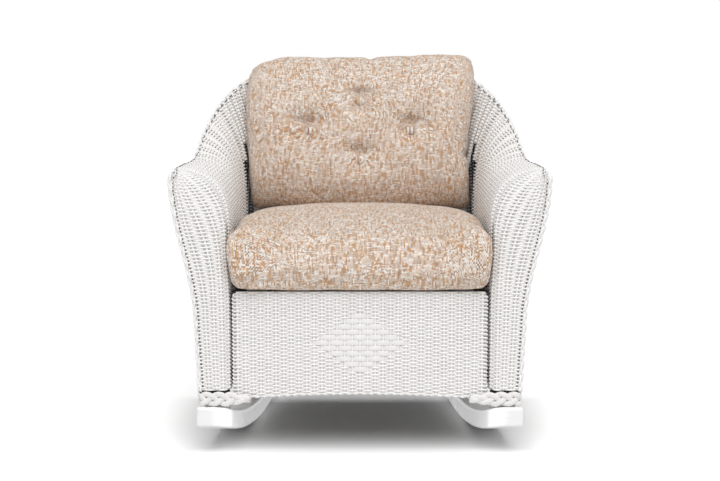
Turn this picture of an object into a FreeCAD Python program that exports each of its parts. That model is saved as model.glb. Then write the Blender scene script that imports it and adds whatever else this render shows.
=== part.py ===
import FreeCAD, Part
import math
import os
import re
from FreeCAD import Placement, Rotation, Vector

doc = FreeCAD.newDocument("rocking_lounge_chair")
sheet = doc.addObject("Spreadsheet::Sheet", "dims")

# Driving sizes in millimetres. The chair faces -Y, +Z is up and the floor is z = 0.
DRIVING = [
    ("runner_length", 850, "runner tip to tip"),
    ("runner_width", 78, "runner across its top"),
    ("runner_height", 45, "runner thickness"),
    ("runner_radius", 1270, "rolling radius of a runner"),
    ("runner_contact", -8, "where the runner meets the floor, along Y"),
    ("runner_out", 34, "seat side of an arm to the middle of its runner at the front leg"),
    ("runner_toe", 0.13, "how much a runner closes in, per millimetre towards the back"),
    ("nose_radius", 52, "rounding of a runner's inner corners in plan"),
    ("tip_radius", 10, "rounding of a runner's outer corners in plan"),
    ("edge_radius", 7, "rounding of the runner edges"),
    ("front_setback", 20, "runner tip to the arm front"),
    ("fit", 0.3, "gap between pieces that sit on each other"),
    ("weave", 5, "thickness of the woven sheet"),
    ("seat_half", 302, "centre to the seat side of an arm"),
    ("arm_width", 79, "seat side of an arm to the middle of the outer weave"),
    ("side_tuck", 8, "how far the outer weave draws in at its foot"),
    ("rim_flare", 56, "outer weave out to the rim braid at the arm front"),
    ("rim_taper", 27, "how much narrower the rim is at the wing"),
    ("weave_foot", 149, "lower edge of the outer weave"),
    ("flare_start", 300, "height where the outer weave starts to flare"),
    ("deck_height", 386, "underside of the seat cushion"),
    ("arm_height", 655, "middle of the rim braid on the arm"),
    ("rim_rise", 229, "back rim above the arm"),
    ("roll_drop", 110, "how far below the rim the arm starts to roll"),
    ("seat_depth", 600, "arm front to the inner back at the deck"),
    ("body_depth", 700, "arm front to the outer back at its foot"),
    ("rim_depth", 729, "arm front to the rim braid at the back"),
    ("wing_start", 249, "arm front to where the rim starts to rise"),
    ("turn_start", 353, "arm front to where the rim starts to turn"),
    ("front_corner", 22, "plan radius at the front of an arm"),
    ("back_corner", 170, "plan radius of the inner back corner"),
    ("outer_corner", 120, "plan radius of the outer back corner"),
    ("braid_radius", 7, "rim braid"),
    ("boot_height", 32, "foot braid, tall"),
    ("boot_thickness", 10, "foot braid, thick"),
    ("hoop_thickness", 4.7, "flat bar hoop inside the foot"),
    ("hoop_height", 40, "flat bar hoop, tall"),
    ("leg_depth", 30, "front leg along Y"),
    ("bar_width", 25, "square frame tube"),
    ("wall", 2.5, "wall of the frame tubes"),
    ("saddle_height", 12, "least height of a runner saddle"),
    ("post_width", 24, "arm post"),
    ("arm_tube_drop", 46, "rim braid down to the arm tube"),
    ("tube_radius", 8, "bent arm and back tube"),
    ("rail_height", 40, "seat rail, tall"),
    ("strap_width", 50, "seat webbing"),
    ("strap_thickness", 2, "seat webbing"),
    ("clip_thickness", 1.5, "webbing clip"),
    ("skirt_recess", 12, "arm front to the skirt face"),
    ("skirt_gap", 9, "arm to the side of the skirt"),
    ("skirt_foot", 130, "lower corners of the skirt"),
    ("skirt_arch", 12, "rise of the skirt's lower edge"),
    ("skirt_corner", 14, "rounding of the skirt's top corners"),
    ("bolt_radius", 4, "runner bolt"),
    ("bolt_head_radius", 7, "runner bolt"),
    ("bolt_head_height", 6, "runner bolt"),
    ("bolt_sink", 14, "head depth above the runner's underside"),
    ("plug_height", 28, "leg plug"),
    ("cover", 3, "cushion cover with its wadding"),
    ("seat_edge", 112, "seat cushion at its edges"),
    ("seat_crown", 42, "extra height in the middle of the seat cushion"),
    ("seat_overhang", 13, "seat cushion in front of the arms"),
    ("cushion_fit", 1.5, "cushion beside the weave"),
    ("back_top", 34, "back cushion above the rim braid"),
    ("back_inset", 10, "back cushion, each side, narrower than the seat"),
    ("back_thickness", 172, "back cushion, front to rear"),
    ("tuft_spread", 130, "centre to the side buttons"),
    ("tuft_low", 267, "lower button above the deck"),
    ("tuft_rise", 74, "each row of buttons above the last"),
    ("tuft_depth", 15, "how far a button pulls the cover in"),
    ("tuft_ball", 46, "radius of the pulled-in hollow"),
    ("button_radius", 11.5, "covered button"),
    ("button_height", 5, "covered button"),
    ("cord_radius", 1.2, "tufting cord"),
]

# Sizes that follow from the driving ones.
DERIVED = [
    ("side_half", "seat_half + arm_width"),
    ("rim_half", "side_half + rim_flare"),
    ("runner_track", "seat_half + runner_out"),
    ("back_half", "seat_half - back_inset"),
    ("arm_front", "-runner_length / 2 + front_setback"),
    ("back_inner", "arm_front + seat_depth"),
    ("back_outer", "arm_front + body_depth"),
    ("frame_side", "seat_half + weave + fit"),
    ("hoop_outer", "side_half - side_tuck - weave / 2 - 3 * fit"),
    ("leg_side", "hoop_outer - hoop_thickness - fit"),
    ("leg_front", "arm_front + front_corner + 3"),
    ("leg_back", "leg_front + leg_depth"),
    ("rail_front_back", "leg_front + bar_width"),
    ("rear_front", "back_inner + weave + fit"),
    ("rear_back", "rear_front + bar_width"),
    ("rear_side", "frame_side + bar_width"),
    ("runner_top", "runner_radius - runner_height"),
    ("front_top", "runner_radius - sqrt(runner_top ^ 2 - (leg_front - runner_contact) ^ 2)"),
    ("rear_top", "runner_radius - sqrt(runner_top ^ 2 - (rear_back - runner_contact) ^ 2)"),
    ("front_foot", "front_top + saddle_height"),
    ("rear_foot", "rear_top + saddle_height"),
    ("front_bolt_x", "(frame_side + leg_side) / 2"),
    ("front_bolt_y", "(leg_front + leg_back) / 2"),
    ("rear_bolt_y", "(rear_front + rear_back) / 2"),
    ("rear_bolt_x", "runner_track - runner_toe * (rear_bolt_y - front_bolt_y)"),
    ("drop_side", "rear_bolt_x - bar_width / 2"),
    ("front_under", "runner_radius - sqrt(runner_radius ^ 2 - (front_bolt_y - runner_contact) ^ 2)"),
    ("rear_under", "runner_radius - sqrt(runner_radius ^ 2 - (rear_bolt_y - runner_contact) ^ 2)"),
    ("cross_top", "deck_height - fit - clip_thickness"),
    ("cross_low", "cross_top - strap_thickness"),
    ("length_low", "cross_low - fit - strap_thickness"),
    ("rail_low", "length_low - rail_height"),
    ("strap_pitch", "2 * seat_half / 6.3"),
    ("cross_pitch", "(rear_front - leg_back) / 6.3"),
    ("post_side", "leg_side - post_width"),
    ("post_foot", "arm_height - roll_drop - 6"),
    ("post_top", "arm_height - arm_tube_drop - tube_radius - fit"),
    ("rear_leg_top", "deck_height + 50"),
    ("stretch_low", "weave_foot + 20"),
    ("batten_front", "arm_front + skirt_recess + weave + fit"),
    ("button_ball", "(button_radius ^ 2 + button_height ^ 2) / (2 * button_height)"),
]

for row, (alias, value, note) in enumerate(DRIVING, start=1):
    sheet.set(f"A{row}", note)
    sheet.set(f"B{row}", str(value))
    sheet.setAlias(f"B{row}", alias)
doc.recompute()
for row, (alias, formula) in enumerate(DERIVED, start=len(DRIVING) + 2):
    sheet.set(f"A{row}", alias)
    sheet.set(f"B{row}", "=" + formula)
    sheet.setAlias(f"B{row}", alias)
    doc.recompute()


def size(alias):
    return float(sheet.get(alias))


def cells(formula):
    return re.sub(r"\b(?!sqrt\b)[a-z]\w*", r"dims.\g<0>", formula)


nodes = []


def node(thing):
    nodes.append(thing)
    return thing


def bind(thing, **formulas):
    for key, formula in formulas.items():
        thing.setExpression(key.replace("__", "."), cells(formula))
    return thing


def bar(name, x, y, z):
    """A solid bar between two formulas along each axis."""
    solid = doc.addObject("Part::Box", name)
    for length, axis, (low, high) in (("Length", "x", x), ("Width", "y", y), ("Height", "z", z)):
        bind(solid, **{length: f"({high}) - ({low})", f"Placement__Base__{axis}": low})
    return solid


def tube(name, x, y, z, along):
    """A bar with a bore that runs out at both ends of one axis."""
    spans = {"x": x, "y": y, "z": z}
    inner = {}
    for axis, (low, high) in spans.items():
        inset = "-1" if axis == along else "wall"
        inner[axis] = (f"{low} + {inset}", f"{high} - ({inset})")
    hollow = doc.addObject("Part::Cut", name)
    hollow.Base = bar(name + "_outside", x, y, z)
    hollow.Tool = bar(name + "_bore", inner["x"], inner["y"], inner["z"])
    return hollow


def group(name, things):
    together = doc.addObject("Part::Compound", name)
    together.Links = things
    return together


def mirrored(name, source):
    other = doc.addObject("Part::Mirroring", name)
    other.Source = source
    other.Normal = Vector(1, 0, 0)
    return other


def pair(stem, source):
    """Keep the right-hand piece and its mirror image on the left."""
    node(source)
    node(mirrored(stem + "_left", source))


def rod_up(name, x, y, low, high, radius):
    stem = doc.addObject("Part::Cylinder", name)
    return bind(
        stem,
        Radius=radius,
        Height=f"({high}) - ({low})",
        Placement__Base__x=x,
        Placement__Base__y=y,
        Placement__Base__z=low,
    )


def feature(name, shape):
    thing = doc.addObject("Part::Feature", name)
    thing.Shape = shape
    return thing


def drum(name, radius):
    """A cylinder across the runner, about the runner's centre of rolling."""
    turn = doc.addObject("Part::Cylinder", name)
    turn.Placement = Placement(Vector(), Rotation(Vector(0, 1, 0), 90))
    return bind(
        turn,
        Radius=radius,
        Height="2 * runner_width + runner_toe * runner_length",
        Placement__Base__x="runner_track - runner_width - runner_toe * runner_length",
        Placement__Base__y="runner_contact",
        Placement__Base__z="runner_radius",
    )


def rounded(name, source, radius, wanted):
    doc.recompute()
    result = doc.addObject("Part::Fillet", name)
    result.Base = source
    picked = [i for i, edge in enumerate(source.Shape.Edges, start=1) if wanted(edge)]
    result.Edges = [(i, radius, radius) for i in picked]
    return result


def upright(edge):
    ends = edge.Vertexes
    return len(ends) == 2 and (ends[0].Point - ends[1].Point).cross(Vector(0, 0, 1)).Length < 0.01


# Runners: a curved board that closes in towards the back, bored from below for its two bolts.
def beside_runner(point):
    """How far a point lies outside the middle line of the right-hand runner."""
    return point.x - size("runner_track") + size("runner_toe") * (point.y - size("front_bolt_y"))


def runner_plan():
    half = size("runner_width") / 2
    end = size("runner_length") / 2
    corners = []
    for side, y in ((1, -end), (1, end), (-1, end), (-1, -end)):
        corner = Vector(0, y, -1)
        corner.x = side * half - beside_runner(corner)
        corners.append(corner)
    face = Part.Face(Part.makePolygon(corners + corners[:1]))
    return face.extrude(Vector(0, 0, size("runner_radius") / 2))


def corner_on(side):
    """Picks the upright edges on one side of the runner."""
    reach = 0.4 * size("runner_width")
    return lambda edge: upright(edge) and side * beside_runner(edge.Vertexes[0].Point) > reach


ring = doc.addObject("Part::Cut", "runner_ring")
ring.Base = drum("runner_outside", "runner_radius")
ring.Tool = drum("runner_inside", "runner_top")
board = doc.addObject("Part::Common", "runner_board")
board.Base = ring
board.Tool = feature("runner_span", runner_plan())
nosed = rounded("runner_nosed", board, size("nose_radius"), corner_on(-1))
tipped = rounded("runner_tipped", nosed, size("tip_radius"), corner_on(1))
eased = rounded("runner_eased", tipped, size("edge_radius"), lambda edge: not upright(edge))

BOLTS = {
    "front": ("front_bolt_x", "front_bolt_y", "front_under", "front_foot"),
    "rear": ("rear_bolt_x", "rear_bolt_y", "rear_under", "rear_foot"),
}
bores = []
for end, (x, y, under, foot) in BOLTS.items():
    bores.append(rod_up(f"{end}_bore", x, y, "-5", f"{foot} + 5", "bolt_radius + fit"))
    bores.append(
        rod_up(f"{end}_sink", x, y, "-5", f"{under} + bolt_sink + fit", "bolt_head_radius + 3 * fit")
    )
runner = doc.addObject("Part::Cut", "runner_right")
runner.Base = eased
runner.Tool = group("runner_bores", bores)
pair("runner", runner)

# Feet: saddles that fill the wedge between runner and leg, plugs in the leg ends, and bolts.
LEGS = {
    "front": (("frame_side", "leg_side"), ("leg_front", "leg_back")),
    "rear": (("drop_side", "drop_side + bar_width"), ("rear_front", "rear_back")),
}
saddles, plugs, bolts = [], [], []
for end, (x, y, under, foot) in BOLTS.items():
    span_x, span_y = LEGS[end]
    shank = f"{under} + bolt_sink"
    top = f"{foot} + plug_height"
    wedge = doc.addObject("Part::Common", f"{end}_wedge")
    wedge.Base = bar(f"{end}_block", span_x, span_y, ("0", foot))
    wedge.Tool = drum(f"{end}_rest", "runner_top - fit")
    saddle = doc.addObject("Part::Cut", f"{end}_saddle")
    saddle.Base = wedge
    saddle.Tool = rod_up(f"{end}_saddle_bore", x, y, "0", f"{foot} + 5", "bolt_radius + fit")
    plug = doc.addObject("Part::Cut", f"{end}_plug")
    plug.Base = bar(
        f"{end}_plug_block",
        (f"{span_x[0]} + wall + fit", f"{span_x[1]} - wall - fit"),
        (f"{span_y[0]} + wall + fit", f"{span_y[1]} - wall - fit"),
        (foot, top),
    )
    plug.Tool = rod_up(f"{end}_plug_bore", x, y, f"{foot} - 5", f"{top} + 5", "bolt_radius + fit")
    bolt = doc.addObject("Part::Fuse", f"{end}_bolt")
    bolt.Base = rod_up(f"{end}_shank", x, y, shank, f"{top} - 2", "bolt_radius")
    bolt.Tool = rod_up(f"{end}_head", x, y, f"{shank} - bolt_head_height", shank, "bolt_head_radius")
    for kept, made in ((saddles, saddle), (plugs, plug), (bolts, bolt)):
        kept.append(made)
        kept.append(mirrored(made.Name + "_left", made))
node(group("runner_saddles", saddles))
node(group("leg_plugs", plugs))
node(group("runner_bolts", bolts))

# Frame: legs, seat rails, stretchers and posts of rectangular tube, butted and welded.
across = ("-frame_side", "frame_side")
pair("front_leg", tube("front_leg_right", *LEGS["front"], ("front_foot", "post_foot"), "z"))
pair("rear_foot", tube("rear_foot_right", *LEGS["rear"], ("rear_foot", "stretch_low"), "z"))
pair(
    "rear_leg",
    tube(
        "rear_leg_right",
        ("frame_side", "rear_side"),
        ("rear_front", "rear_back"),
        ("stretch_low", "rear_leg_top"),
        "z",
    ),
)
pair(
    "side_rail",
    tube(
        "side_rail_right",
        ("frame_side", "rear_side"),
        ("leg_back", "rear_front"),
        ("rail_low", "cross_low"),
        "y",
    ),
)
rail_z = ("rail_low", "length_low")
node(tube("front_rail", across, ("leg_front", "rail_front_back"), rail_z, "x"))
node(tube("rear_rail", across, ("rear_front", "rear_back"), rail_z, "x"))
stretch_z = ("stretch_low", "stretch_low + bar_width")
node(tube("front_stretcher", across, ("leg_front", "rail_front_back"), stretch_z, "x"))
node(tube("rear_stretcher", across, ("rear_front", "rear_back"), stretch_z, "x"))
pair(
    "arm_post",
    tube(
        "arm_post_right",
        ("post_side", "leg_side"),
        ("leg_back - post_width", "leg_back"),
        ("post_foot", "post_top"),
        "z",
    ),
)
skirt_half = "seat_half - skirt_gap"
batten_x = (f"-({skirt_half} - 20)", f"{skirt_half} - 20")
batten_y = ("batten_front", "leg_front")
node(bar("skirt_top_batten", batten_x, batten_y, ("rail_low + 4", "length_low - 6")))
node(bar("skirt_foot_batten", batten_x, batten_y, stretch_z))

# Deck: webbing straps in two layers, each end held down by a clip.
lengthwise, crosswise, clips = [], [], []
for i in range(6):
    shift = i - 2.5
    x = (f"{shift} * strap_pitch - strap_width / 2", f"{shift} * strap_pitch + strap_width / 2")
    clip_z = ("length_low + strap_thickness", "length_low + strap_thickness + clip_thickness")
    lengthwise.append(
        bar(f"length_strap_{i}", x, ("leg_front", "rear_back"), ("length_low", "length_low + strap_thickness"))
    )
    for end, y in (
        ("front", ("leg_front + 4", "rail_front_back - 4")),
        ("rear", ("rear_front + 4", "rear_back - 4")),
    ):
        clips.append(bar(f"{end}_clip_{i}", x, y, clip_z))
    middle = f"leg_back + {i + 0.65} * cross_pitch"
    y = (f"{middle} - strap_width / 2", f"{middle} + strap_width / 2")
    crosswise.append(bar(f"cross_strap_{i}", ("-rear_side", "rear_side"), y, ("cross_low", "cross_top")))
    right = bar(
        f"side_clip_{i}",
        ("frame_side + 2", "rear_side - 2"),
        y,
        ("cross_top", "cross_top + clip_thickness"),
    )
    clips.append(right)
    clips.append(mirrored(f"side_clip_left_{i}", right))
node(group("webbing_lengthwise", lengthwise))
node(group("webbing_crosswise", crosswise))
node(group("webbing_clips", clips))


# The rim is one line in space: straight along the arm, then a rounded turn round the back.
def blend(low, high, value):
    share = min(max((value - low) / (high - low), 0.0), 1.0)
    return share * share * (3 - 2 * share)


def mix(first, second, share):
    return first + (second - first) * share


def spaced(points, shares):
    """Points at the given shares of the length of a polyline."""
    lengths = [0.0]
    for before, after in zip(points, points[1:]):
        lengths.append(lengths[-1] + (after - before).Length)
    found = []
    i = 0
    for share in shares:
        goal = min(max(share, 0.0), 1.0) * lengths[-1]
        while i < len(points) - 2 and lengths[i + 1] < goal:
            i += 1
        while i > 0 and lengths[i] > goal:
            i -= 1
        part = (goal - lengths[i]) / (lengths[i + 1] - lengths[i])
        found.append(mix(points[i], points[i + 1], part))
    return found


ARM_FRONT = size("arm_front")
WEAVE = size("weave")
FIT = size("fit")
BRAID = size("braid_radius")
RIM_FRONT = ARM_FRONT + WEAVE
RIM_BACK = ARM_FRONT + size("rim_depth")
TURN_ROUNDNESS = 2.17
WING_STEEPNESS = 2.45


def rim_height(y):
    start = ARM_FRONT + size("wing_start")
    share = min(max((y - start) / (RIM_BACK - start), 0.0), 1.0)
    return size("arm_height") + size("rim_rise") * math.sin(share * math.pi / 2) ** WING_STEEPNESS


def rim_line():
    turn = ARM_FRONT + size("turn_start")
    half = size("rim_half") - size("rim_taper")
    plan = []
    for i in range(60):
        plan.append((mix(size("rim_half"), half, i / 60), mix(RIM_FRONT, turn, i / 60)))
    for i in range(241):
        angle = math.pi / 2 * i / 240
        x = half * max(math.cos(angle), 0.0) ** (2 / TURN_ROUNDNESS)
        y = turn + (RIM_BACK - turn) * math.sin(angle) ** (2 / TURN_ROUNDNESS)
        plan.append((x, y))
    return [Vector(x, y, rim_height(y)) for x, y in plan]


RIM = rim_line()
EDGE = 1.05 * BRAID + FIT
FLARE_EDGE = 1.35 * EDGE
BACK_STEP = 1.1 * WEAVE


def rim(share):
    return spaced(RIM, [share])[0]


def rim_heading(share):
    """The direction of the rim, level across the chair at the back."""
    if share > 0.995:
        return Vector(-1, 0, 0)
    return (rim(share + 0.004) - rim(share - 0.004)).normalize()


def square_to(run, direction):
    """A direction with the part along a run taken out."""
    return (direction - run * direction.dot(run)).normalize()


def foot_share(z):
    """1 at the foot of the outer weave, 0 where its flare starts."""
    share = (size("flare_start") - z) / (size("flare_start") - size("weave_foot"))
    return max(share, 0.0)


def plan_path(legs, distance):
    """A point on a plan path of straight runs and quarter turns, each given with its length."""
    for length, place in legs:
        if distance <= length or place is legs[-1][1]:
            return place(distance)
        distance -= length


def inner_path():
    left = size("seat_half") + WEAVE / 2
    front = ARM_FRONT + WEAVE / 2
    back = size("back_inner") + WEAVE / 2
    small, large = size("front_corner"), size("back_corner")
    outer = size("side_half") - FLARE_EDGE
    quarter = math.pi / 2

    def face(d):
        return Vector(outer - d, front, 0)

    def nose(d):
        turn = d / small
        return Vector(left + small - small * math.sin(turn), front + small - small * math.cos(turn), 0)

    def arm(d):
        return Vector(left, front + small + d, 0)

    def corner(d):
        turn = d / large
        return Vector(left - large + large * math.cos(turn), back - large + large * math.sin(turn), 0)

    def rear(d):
        return Vector(left - large - d, back, 0)

    return [
        (outer - left - small, face),
        (small * quarter, nose),
        (back - large - front - small, arm),
        (large * quarter, corner),
        (left - large, rear),
    ]


INNER = inner_path()
INNER_LENGTH = sum(length for length, _ in INNER)
FRONT_SHARE = (INNER[0][0] + INNER[1][0]) / INNER_LENGTH
ARM_SHARE = FRONT_SHARE + INNER[2][0] / INNER_LENGTH
FAN = 1.25


def bezier(a, b, c, d, t):
    s = 1 - t
    return a * (s * s * s) + b * (3 * s * s * t) + c * (3 * s * t * t) + d * (t * t * t)


UP = Vector(0, 0, 1)


def outward(start, end):
    """The level direction from one point to another."""
    flat = Vector(end.x - start.x, end.y - start.y, 0)
    return flat.normalize()


def inner_curve(share, foot, shares):
    """One warp of the seat-side weave, from its foot up and over to the rim."""
    if share > 1:
        return [Vector(-p.x, p.y, p.z) for p in inner_curve(2 - share, foot, shares)]
    share = max(share, 0.0)
    base = plan_path(INNER, share * INNER_LENGTH)
    end = rim(share ** FAN)
    front = 1 - blend(0.0, FRONT_SHARE * 1.15, share)
    back = blend(0.36, 0.80, share)
    roll = size("arm_height") - size("roll_drop")

    def by_place(at_front, on_arm, at_back):
        return on_arm + (at_front - on_arm) * front + (at_back - on_arm) * back

    start = base + UP * by_place(size("flare_start"), roll, mix(size("deck_height"), roll, 0.35))
    lift = math.radians(by_place(90, 0, 80))
    level = outward(base, end)
    heading = level * math.cos(lift) + UP * math.sin(lift)
    aside = UP * math.cos(lift) - level * math.sin(lift)
    run = rim_heading(share ** FAN)
    beside = mix(EDGE, FLARE_EDGE, front) + WEAVE / 2 * front * blend(0, 0.25 * FRONT_SHARE, share)
    stop = end - square_to(run, heading) * (beside * math.sqrt(1 - front * front))
    stop += square_to(run, aside) * by_place(beside, 0, BACK_STEP)
    flare = size("arm_height") - size("flare_start")
    first = start + UP * by_place(0.366 * flare, 0.82 * size("roll_drop"), 0.65 * size("rim_rise"))
    second = stop - heading * by_place(0.352 * flare, 0.72 * size("roll_drop"), 0.70 * size("rim_rise"))
    tuck = size("side_tuck") * front * foot_share(foot)
    points = [base + UP * foot - Vector(tuck, 0, 0)]
    points += [bezier(start, first, second, stop, i / 48) for i in range(49)]
    return spaced(points, shares)


def outer_path(inset):
    half = size("side_half") - inset
    back = size("back_outer") - WEAVE / 2 - inset
    turn_radius = size("outer_corner") - inset
    front = RIM_FRONT + EDGE

    def side(d):
        return Vector(half, front + d, 0)

    def corner(d):
        turn = d / turn_radius
        return Vector(
            half - turn_radius + turn_radius * math.cos(turn),
            back - turn_radius + turn_radius * math.sin(turn),
            0,
        )

    def rear(d):
        return Vector(half - turn_radius - d, back, 0)

    return [
        (back - turn_radius - front, side),
        (turn_radius * math.pi / 2, corner),
        (half - turn_radius, rear),
    ]


def outer_place(share, inset):
    path = outer_path(inset)
    return plan_path(path, share * sum(length for length, _ in path))


RIM_SHIFT = EDGE / sum((b - a).Length for a, b in zip(RIM, RIM[1:]))


def outer_curve(share, foot, shares):
    """One warp of the outer weave, from its foot up to the rim."""
    if share > 1:
        return [Vector(-p.x, p.y, p.z) for p in outer_curve(2 - share, foot, shares)]
    share = max(share, 0.0)
    low = outer_place(share, size("side_tuck") * foot_share(foot)) + UP * foot
    start = outer_place(share, 0) + UP * size("flare_start")
    along = RIM_SHIFT + share * (1 - RIM_SHIFT)
    end = rim(along)
    back = blend(0.36, 0.80, share)
    rise = end.z - start.z
    level = square_to(rim_heading(along), outward(Vector(0, 0, 0), end))
    stop = end - square_to(rim_heading(along), UP) * EDGE + level * (BACK_STEP * back)
    first = start + UP * (0.37 * rise)
    second = stop - UP * (0.35 * rise)
    points = [low] + [bezier(start, first, second, stop, i / 48) for i in range(49)]
    return spaced(points, shares)


def closed_solid(faces):
    shell = Part.makeShell(faces)
    shell.sewShape()
    solid = Part.makeSolid(Part.makeShell(shell.Faces))
    if solid.Volume < 0:
        solid.reverse()
    return solid


def woven(curve, foot, start, stop, columns, rows, thickness=WEAVE):
    """A sheet of even thickness about the warps of a curve between two shares."""
    heights = [j / rows for j in range(rows + 1)]
    probe = 0.002
    near, far = [], []
    for i in range(columns + 1):
        share = mix(start, stop, i / columns)
        here = curve(share, foot, heights)
        before = curve(share - probe, foot, heights)
        after = curve(share + probe, foot, heights)
        near_line, far_line = [], []
        for j, point in enumerate(here):
            climb = here[min(j + 1, rows)] - here[max(j - 1, 0)]
            normal = (after[j] - before[j]).cross(climb).normalize()
            near_line.append(point + normal * (thickness / 2))
            far_line.append(point - normal * (thickness / 2))
        near.append(near_line)
        far.append(far_line)
    skins = []
    for grid in (near, far):
        surface = Part.BSplineSurface()
        surface.interpolate(grid)
        skins.append(surface.toShape())
    rims = [Part.makeRuledSurface(a, b) for a, b in zip(skins[0].Edges, skins[1].Edges)]
    return closed_solid(skins + rims)


# Weave: the sheet that wraps each arm front, the inner arms, the barrel back and the outside.
SEAM = 0.35 / INNER_LENGTH
deck = size("deck_height") + FIT
weave_foot = size("weave_foot")
OUTER_SEAM = 0.62
pair(
    "arm_front_weave",
    feature("arm_front_weave_right", woven(inner_curve, weave_foot, 0.0, FRONT_SHARE - SEAM, 16, 16)),
)
pair(
    "inner_arm_weave",
    feature("inner_arm_weave_right", woven(inner_curve, deck, FRONT_SHARE + SEAM, ARM_SHARE - SEAM, 16, 14)),
)
node(feature("inner_back_weave", woven(inner_curve, deck, ARM_SHARE + SEAM, 2 - ARM_SHARE - SEAM, 28, 14)))
pair(
    "outer_side_weave",
    feature("outer_side_weave_right", woven(outer_curve, weave_foot, 0.0, OUTER_SEAM - SEAM, 20, 14)),
)
node(feature("outer_back_weave", woven(outer_curve, weave_foot, OUTER_SEAM + SEAM, 2 - OUTER_SEAM - SEAM, 24, 14)))


def rod_along(points, radius, sides=8):
    """A faceted rod whose sections stand square to a path."""
    sections = []
    heading = (points[1] - points[0]).normalize()
    aside = heading.cross(Vector(0.3, 0.2, 0.9)).normalize()
    for i, point in enumerate(points):
        heading = (points[min(i + 1, len(points) - 1)] - points[max(i - 1, 0)]).normalize()
        aside = (aside - heading * aside.dot(heading)).normalize()
        other = heading.cross(aside)
        ring = []
        for k in range(sides + 1):
            angle = 2 * math.pi * (k % sides) / sides
            ring.append(point + aside * (radius * math.cos(angle)) + other * (radius * math.sin(angle)))
        sections.append(Part.makePolygon(ring))
    return Part.makeLoft(sections, True, True)


def both_sides(half):
    """Continue a right-hand path, which ends on the centre plane, to the left."""
    return half + [Vector(-p.x, p.y, p.z) for p in reversed(half[:-1])]


# Rim braid: up the outer front edge of an arm, along the rim and down the other arm.
edge_foot = outer_place(0.0, size("side_tuck")) + UP * (weave_foot + 2 * FIT)
edge_start = outer_place(0.0, 0.0) + UP * size("flare_start")
corner = rim(0.0)
edge_rise = corner.z - edge_start.z
edge = [edge_foot, mix(edge_foot, edge_start, 0.5)]
for i in range(17):
    edge.append(
        bezier(edge_start, edge_start + UP * (0.37 * edge_rise), corner - UP * (0.35 * edge_rise), corner, i / 16)
    )
for point in edge:
    point.y = RIM_FRONT
upper = [p for p in edge if p.z < corner.z - 2 * BRAID]
bend = corner + Vector(0, 0.1 * BRAID, -0.1 * BRAID)
braid_line = both_sides(upper + [bend] + [rim(0.015 + 0.985 * i / 48) for i in range(49)])
node(feature("rim_braid", rod_along(braid_line, BRAID)))


# Arm and back tube: bent to run inside the weave below the rim braid.
def tube_place(share):
    end = rim(share)
    level = outward(Vector(0, min(end.y, ARM_FRONT + size("turn_start")), 0), end)
    at_post = size("rim_half") - (size("leg_side") - size("post_width") / 2)
    aside = mix(mix(at_post, 0.56 * at_post, blend(0.07, 0.22, share)), 10, blend(0.34, 0.72, share))
    drop = mix(size("arm_tube_drop"), 0.41 * size("rim_rise"), blend(0.07, 0.55, share))
    return end - level * aside - UP * drop


tube_line = both_sides([tube_place(0.03 + 0.97 * i / 30) for i in range(31)])
node(feature("arm_and_back_tube", rod_along(tube_line, size("tube_radius"))))


# Back posts: they lean on the rear rail, behind the inner weave and under the bent tube.
def back_post():
    x = size("back_corner") * 0.55
    width = 0.8 * size("bar_width")
    share = min((0.7 + i * 0.003 for i in range(100)), key=lambda s: abs(tube_place(s).x - x))
    crest = tube_place(share)
    top = crest.z - size("tube_radius") - 2 * FIT
    foot = size("length_low")
    front = size("rear_front")
    lean = 0.0
    for s in (0.80, 0.85, 0.90, 0.95, 1.0):
        for p in inner_curve(s, deck, [j / 40 for j in range(41)]):
            if foot + 40 < p.z < top:
                lean = max(lean, (p.y + WEAVE / 2 + 2 * FIT - front) / (p.z - foot))
    shift = lean * (top - foot)
    outline = [
        Vector(x - width / 2, front, foot),
        Vector(x - width / 2, front + width, foot),
        Vector(x - width / 2, front + width + shift, top),
        Vector(x - width / 2, front + shift, top),
    ]
    face = Part.Face(Part.makePolygon(outline + outline[:1]))
    return face.extrude(Vector(width, 0, 0))


pair("back_post", feature("back_post_right", back_post()))


# Foot braid and the flat hoop behind it, both following the foot of the weave.
def rounded_plan(half, front, back, front_radius, back_radius, low, tall):
    """An upright block whose plan has one corner radius in front and one behind."""
    def arc(cx, cy, radius, start):
        spots = []
        for degrees in (start, start + 45, start + 90):
            angle = math.radians(degrees)
            spots.append(Vector(cx + radius * math.cos(angle), cy + radius * math.sin(angle), low))
        return Part.Arc(*spots).toShape()

    turns = [
        arc(half - front_radius, front + front_radius, front_radius, 270),
        arc(half - back_radius, back - back_radius, back_radius, 0),
        arc(-half + back_radius, back - back_radius, back_radius, 90),
        arc(-half + front_radius, front + front_radius, front_radius, 180),
    ]
    edges = []
    for turn, following in zip(turns, turns[1:] + turns[:1]):
        edges.append(turn)
        edges.append(Part.makeLine(turn.Vertexes[-1].Point, following.Vertexes[0].Point))
    return Part.Face(Part.Wire(edges)).extrude(Vector(0, 0, tall))


def foot_band(outside, thickness, low, tall, front, opening):
    """A band round the foot, open in front between the arms."""
    half = size("side_half") - size("side_tuck") + outside
    back = size("back_outer") - WEAVE / 2 - size("side_tuck") + outside
    turn = size("outer_corner") - size("side_tuck") + outside
    block = rounded_plan(half, front, back, 16, turn, low, tall)
    inside = rounded_plan(
        half - thickness, front + thickness, back - thickness, 6, turn - thickness, low - 1, tall + 2
    )
    reach = size("boot_height")
    gap = Part.makeBox(2 * opening, 2 * reach, tall + 2, Vector(-opening, front - reach, low - 1))
    return block.cut(inside).cut(gap)


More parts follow.
